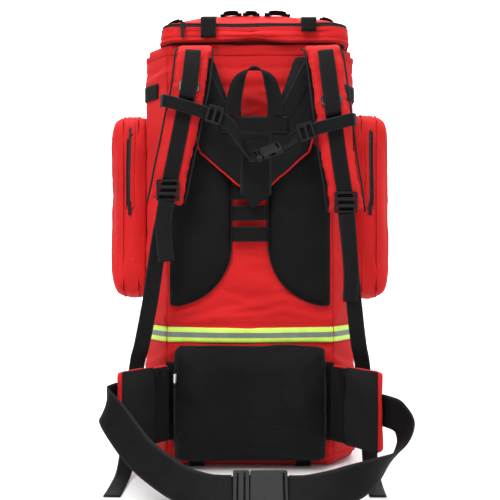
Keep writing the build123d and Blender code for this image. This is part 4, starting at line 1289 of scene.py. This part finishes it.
# ---------------------------------------------------------------- pockets
side_trees = {}
for word, side in SIDES:
    pocket = pad_piece(
        f"side_pocket_bag_{word}", f"side_pocket_{word}", RED, "bag", "red_fabric", voxel=0.005,
        pressure=3.0, cap=0.005, creases=0.0012,
        source=solid_of(f"side_pocket_bag_{word}", f"side_pocket_{word}"),
        held=lambda co, s=side: np.clip((0.186 - co[:, 0] * s) / 0.004, 0, 1),
    )
    side_trees[side] = surface(pocket)


def rounded_rect(centre, wide, tall, radius):
    """Points round a rounded rectangle in (a, b), starting at its low right corner."""
    out, half_w, half_t = [], wide / 2 - radius, tall / 2 - radius
    corners = [(half_w, -half_t, -90), (half_w, half_t, 0), (-half_w, half_t, 90), (-half_w, -half_t, 180)]
    for a, b, start in corners:
        for k in range(9):
            w = math.radians(start + 90 * k / 8)
            out.append((centre[0] + a + radius * math.cos(w), centre[1] + b + radius * math.sin(w)))
    return out + out[:1]


def zip_path(points, low, place):
    """The stretch of a rounded outline above a height, in order, as 3-D points."""
    line = smooth_line([np.array((a, b, 0.0)) for a, b in points], 4.0)
    keep = [p for p in line if p[1] > low]
    split = 0
    for i in range(1, len(keep)):
        if np.linalg.norm(keep[i] - keep[i - 1]) > 20:
            split = i
    return [place(p[0], p[1]) for p in keep[split:] + keep[:split]]


def zip_band(name, line, across, body, replaces=()):
    return band(name, eased(line), across, 11, 1.3, ZIP, body, replaces, "zip_tape")


def zip_lips(name, lines, across, body):
    """Two fabric lips that leave a narrow line of the zip showing."""
    lips = [band("lip", eased(thin(line, 60)), across, 6.6, 1.0, RED_DEEP, None) for line in lines]
    join(name, lips, body, slot="red_fabric")


zips = []
for word, side in SIDES:
    def on_pocket(off, low, lift):
        """The zip's run on this side pocket, at a distance from the bag's middle."""
        outline = rounded_rect((5.0, 434.0), 152.6, 318.6, 31.3)
        return snap(side_trees[side], zip_path(outline, low, lambda a, b: (side * off, a, b)), lift)

    line = on_pocket(206.0, 430.0, 0.5)
    zip_lips(f"side_pocket_zip_lips_{word}", [on_pocket(off, 428.0, 0.9) for off in (200.6, 211.4)],
             (side, 0, 0), "bag")
    zips.append(zip_band("zip_run", thin(line, 46), (side, 0, 0), None))
join("side_pocket_zips", zips, "bag", ("pocket_zips",), "zip_tape")
for word, side in SIDES:
    for off in (193.0, 219.0):
        line = [(side * off, a, b) for a, b in rounded_rect((5.0, 434.0), 150.5, 316.5, 30.2)]
        tubes(f"side_pocket_piping_{word}_{int(off)}", [snap(side_trees[side], line, 0.3)], 0.0013, RED_DEEP)

front_pocket = pad_piece(
    "front_pocket_bag", "front_pocket", RED, "bag", "red_fabric", voxel=0.006, pressure=3.0, cap=0.006,
    creases=0.0014, source=solid_of("front_pocket_bag", "front_pocket"),
    held=lambda co: np.clip((0.134 - co[:, 1]) / 0.004, 0, 1),
)
front_tree = surface(front_pocket)


def on_front(off, low, lift):
    """The zip's run on the front pocket, at a distance from the bag's middle."""
    outline = rounded_rect((0.0, 240.0), 242.6, 362.6, 36.3)
    return snap(front_tree, zip_path(outline, low, lambda a, b: (a, off, b)), lift)


zip_band("front_pocket_zip", thin(on_front(156.8, 200.0, 0.5), 60), (0, 1, 0), "bag", ("front_zip",))
zip_lips("front_pocket_zip_lips", [on_front(off, 198.0, 0.9) for off in (151.4, 162.2)], (0, 1, 0), "bag")
for off in (140.0, 172.0):
    line = [(a, off, b) for a, b in rounded_rect((0.0, 240.0), 240.6, 360.6, 35.2)]
    tubes(f"front_pocket_piping_{int(off)}", [snap(front_tree, line, 0.3)], 0.0014, RED_DEEP)

row = [(x, 132.4 + 1.3 * abs(math.sin((x + 115) / 230 * 6 * math.pi))) for x in np.linspace(-115, 115, 37)]
rows = [[(x, y, z) for x, y in row] for z in (450, 488, 526)]
webs("front_webbing_rows", rows, (0, 0, 1), ("webbing_rows",), thick=1.5)
LID_STRAPS = (-68.0, 96.0)
for name, node, xs, places, thick, step in (
    ("lid_buckle_webbing", "socket_webbing", LID_STRAPS,
     ((127.0, 590), (130.0, 570), (133.6, 548), (134.2, 500), (134.2, 440)), 1.6, 0.004),
    ("base_strap_webbing", "base_strap_tabs", (-88.0, 88.0),
     ((-116, 1.4), (-124, 2.2), (-127.2, 6.5), (-127.6, 13), (-127.0, 17.5)), 1.5, 0.002),
):
    lines = [[(x, y, z) for y, z in places] for x in xs]
    webs(name, lines, (1, 0, 0), (node,), thick=thick, step=step)

# ---------------------------------------------------------------- lid
LID_MIDDLE, LID_HALF_W, LID_HALF_D, LID_LOW = np.array((0.007, -0.002)), 0.159, 0.132, 0.699


def lid_height(x, y):
    """Height of the lid's top above its lower edge: domed, lowest at its ends."""
    u = np.clip(np.abs((x - LID_MIDDLE[0]) / LID_HALF_W), 0, 1)
    v = np.clip(np.abs((y - LID_MIDDLE[1]) / LID_HALF_D), 0, 1)
    ends, ridge = 1 - u**3, 1 - v**4
    return 0.028 + 0.009 * ends + 0.017 * ends * ridge


def lid_form(obj):
    """The CAD's flat lid, drawn down to its domed height."""
    co = coords(obj.data)
    co[:, 2] = LID_LOW + (co[:, 2] - LID_LOW) * lid_height(co[:, 0], co[:, 1]) / 0.056
    return co


def lid_creases(co):
    """Slack pulls across the lid, and its lower hem."""
    lift = noise_field(co * np.array((1.0, 1.6, 2.5)), 17.0, 12.0, 3) * 0.0016
    side = np.clip((co[:, 2] - LID_LOW) / 0.01, 0, 1)
    co[:, 2] += lift * side
    sag = np.exp(-(((co[:, 0] - 0.004) / 0.042) ** 2)) * (co[:, 1] < -0.112)
    co[:, 2] += 0.0066 * sag * np.clip((0.716 - co[:, 2]) / 0.012, 0, 1)  # the hem arches over the back panel
    out = co[:, :2] - LID_MIDDLE
    out /= np.maximum(np.linalg.norm(out, axis=1, keepdims=True), 1e-6)
    co[:, :2] -= out * (0.0016 * seam(co[:, 2], 0.7075, 0.0018))[:, None]
    return co


lid_piece = pad_piece(
    "lid_bag", "lid_cover", RED, "lid", "red_fabric", voxel=0.006, pressure=3.5, cap=0.005, creases=0.0012,
    source=solid_of("lid_bag", "lid_cover"), shape=lid_form, after=lid_creases,
    held=lambda co: np.clip((LID_LOW + 0.004 - co[:, 2]) / 0.004, 0, 1),
)
lid_tree = surface(lid_piece)


def lid_ring(z, y_stop=None):
    """Points round the lid's wall at one height (millimetres), or only those where y is below y_stop."""
    outline = rounded_rect((7.0, -2.0), 319, 265, 35.5)
    line = smooth_line([np.array((a, b, z)) for a, b in outline], 5.0)
    if y_stop is None:
        return line
    keep = [p for p in line if p[1] < y_stop]
    split = max(range(1, len(keep)), key=lambda i: np.linalg.norm(keep[i] - keep[i - 1]))
    if np.linalg.norm(keep[split] - keep[split - 1]) > 20:
        keep = keep[split:] + keep[:split]
    return keep


line = snap(lid_tree, lid_ring(727.0, -60.0), 0.5)
band("lid_zip_run", eased(thin(line, 60)), (0, 0, 1), 11, 1.4, ZIP, "lid", ("lid_zip",), "zip_tape")
zip_lips("lid_rain_flap", [snap(lid_tree, lid_ring(z, -58.0), 0.9) for z in (732.2, 721.8)], (0, 0, 1), "lid")
tubes("lid_hem_piping", [snap(lid_tree, lid_ring(701.5), 0.0)], 0.0021, RED_DEEP, "lid")
stitches("lid_stitching", [snap(lid_tree, lid_ring(710.0), 0.1)], THREAD_RED, "lid", "red_fabric")

leave = np.array((0.0, 99.0, 284.0))  # the way the webbing leaves its buckle
leave /= np.linalg.norm(leave)
lid_mouth = np.array((0.0, 143.0, 600.0)) + leave * 12.0
straps = []
for x, low in zip(LID_STRAPS, (704.0, 714.0)):
    over = [(x, y, 780.0) for y in (-126, -100, -60, -20, 20, 60, 100, 122)]
    over = drop(lid_tree, over, (0, 0, -1), 1.2)
    back = [(x, -142.4, low), (x, -142.4, 724.0), (x, -142.2, 737.0), (x, -137.0, over[0][2] + 1.0)]
    end = lid_mouth + np.array((x, 0, 0)) + leave * 14.0
    front = [(x, 133.5, 728.0), (x, 134.6, 706.0), (x, 138.0, 670.0), end + leave * 14, end]
    straps.append(band("lid_strap", back + over + front, (1, 0, 0), 25, 1.8, WEB25, None))
join("lid_strap_webbing", straps, "lid", ("lid_straps",), "black_webbing")

loops = []
for x, span, tall in ((-128, 20, 4), (-32, 25, 5), (2, 20, 4), (46, 30, 5), (130, 18, 3.5)):
    a, b = drop(lid_tree, [(x - span / 2, -93.5, 780), (x + span / 2, -93.5, 780)], (0, 0, -1), 0.6)
    middle = (a + b) / 2 + np.array((0, 0, tall))
    q = (b - a) * 0.22
    line = [a - q, a, a + q * 0.3 + (0, 0, tall * 0.7), middle, b - q * 0.3 + (0, 0, tall * 0.7), b, b + q]
    loops.append(band("loop", line, (0, 1, 0), 25, 1.6, WEB25, None, step=0.0015))
join("lid_webbing_loops", loops, "lid", ("lid_loops",), "black_webbing")
pad_piece("lid_underside", "lid_liner", BLACK, "lid", "black_fabric", voxel=0.004, cap=0.001,
          pressure=0.5, source=solid_of("lid_underside", "lid_liner"), creases=0.0002,
          shape=lambda o: coords(o.data) - np.array((0.0, 0.0, 0.0020)))
flap = [(x, -122.6 - 0.8 * math.sin(x / 11.0), 692.0) for x in np.linspace(-112, 126, 50)]
flap = band("lid_hinge_flap", flap, (0, 0, 1), 13.4, 1.8, RED_DEEP, None, ("lid_flap",), "red_fabric")
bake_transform(flap)

# ---------------------------------------------------------------- CAD nodes that stay as they are
FINISHES = {"frame_sheet": FRAME_PLASTIC, "frame_stays": ALLOY, "d_rings": BRONZE}
for name in ("belt_plug", "belt_socket", "sternum_plug", "sternum_socket", "lid_plugs", "lid_sockets",
             "ladder_locks", "anchor_slides", "sternum_slides", "lid_slider", "pocket_slider_left",
             "pocket_slider_right", "front_slider"):
    FINISHES[name] = PLASTIC
for name, material in FINISHES.items():
    nodes[name].data.materials.clear()
    nodes[name].data.materials.append(material)


# ---------------------------------------------------------------- studio and camera
def placed(name, data, place=(0, 0, 0)):
    """A new object in the scene."""
    obj = bpy.data.objects.new(name, data)
    bpy.context.scene.collection.objects.link(obj)
    obj.location = place
    return obj


def area(name, place, target, size, power):
    """A soft lamp that looks at its target."""
    lamp = bpy.data.lights.new(name, "AREA")
    lamp.shape = "RECTANGLE"
    lamp.size, lamp.size_y = size
    lamp.energy = power
    aim = (Vector(target) - Vector(place)).to_track_quat("-Z", "Y")
    placed(name, lamp, place).rotation_euler = aim.to_euler()


def staged(name, corners, scale, low, high, rough, glow=0.0):
    """A pale sheet of the studio."""
    mesh = bpy.data.meshes.new(name)
    mesh.from_pydata(corners, [], [(0, 1, 2, 3)])
    m = Mat(name)
    m.set(Base_Color=m.colour(m.noise(m.place(), scale), (low,) * 3, (high,) * 3), Roughness=rough)
    if glow:
        m.set(Emission_Color=(1.0, 1.0, 1.0, 1.0), Emission_Strength=glow)
    mesh.materials.append(m.mat)
    placed(name, mesh)


staged("floor", [(-6, -6, 0), (6, -6, 0), (6, 6, 0), (-6, 6, 0)], 1.3, 0.80, 0.84, 0.65)
staged("backdrop", [(-9, 3.6, -0.2), (9, 3.6, -0.2), (9, 3.6, 6), (-9, 3.6, 6)], 0.8, 0.90, 0.93, 0.9, 0.9)

world = bpy.data.worlds.new("studio")
world.use_nodes = True
background = world.node_tree.nodes["Background"]
background.inputs["Color"].default_value = (1.0, 1.0, 1.0, 1.0)
background.inputs["Strength"].default_value = 0.38
bpy.context.scene.world = world
bpy.context.scene.view_settings.view_transform = "Standard"
area("key", (-0.9, -2.3, 2.7), (0, 0, 0.45), (1.4, 1.4), 84)
area("fill", (1.9, -2.0, 1.3), (0, 0, 0.35), (1.8, 1.8), 22)
area("top", (0.0, -0.1, 2.9), (0, 0, 0.4), (2.6, 2.6), 104)
area("rim", (0.4, 2.4, 1.8), (0, 0, 0.4), (1.8, 1.4), 26)

camera_data = bpy.data.cameras.new("camera")
camera_data.lens = 56.7
camera_data.sensor_width = 36.0
camera_data.clip_start = 0.05
camera = placed("camera", camera_data, (0.0, -1.425, 0.358))
camera.rotation_euler = (math.pi / 2, 0.0, 0.0)
bpy.context.scene.camera = camera
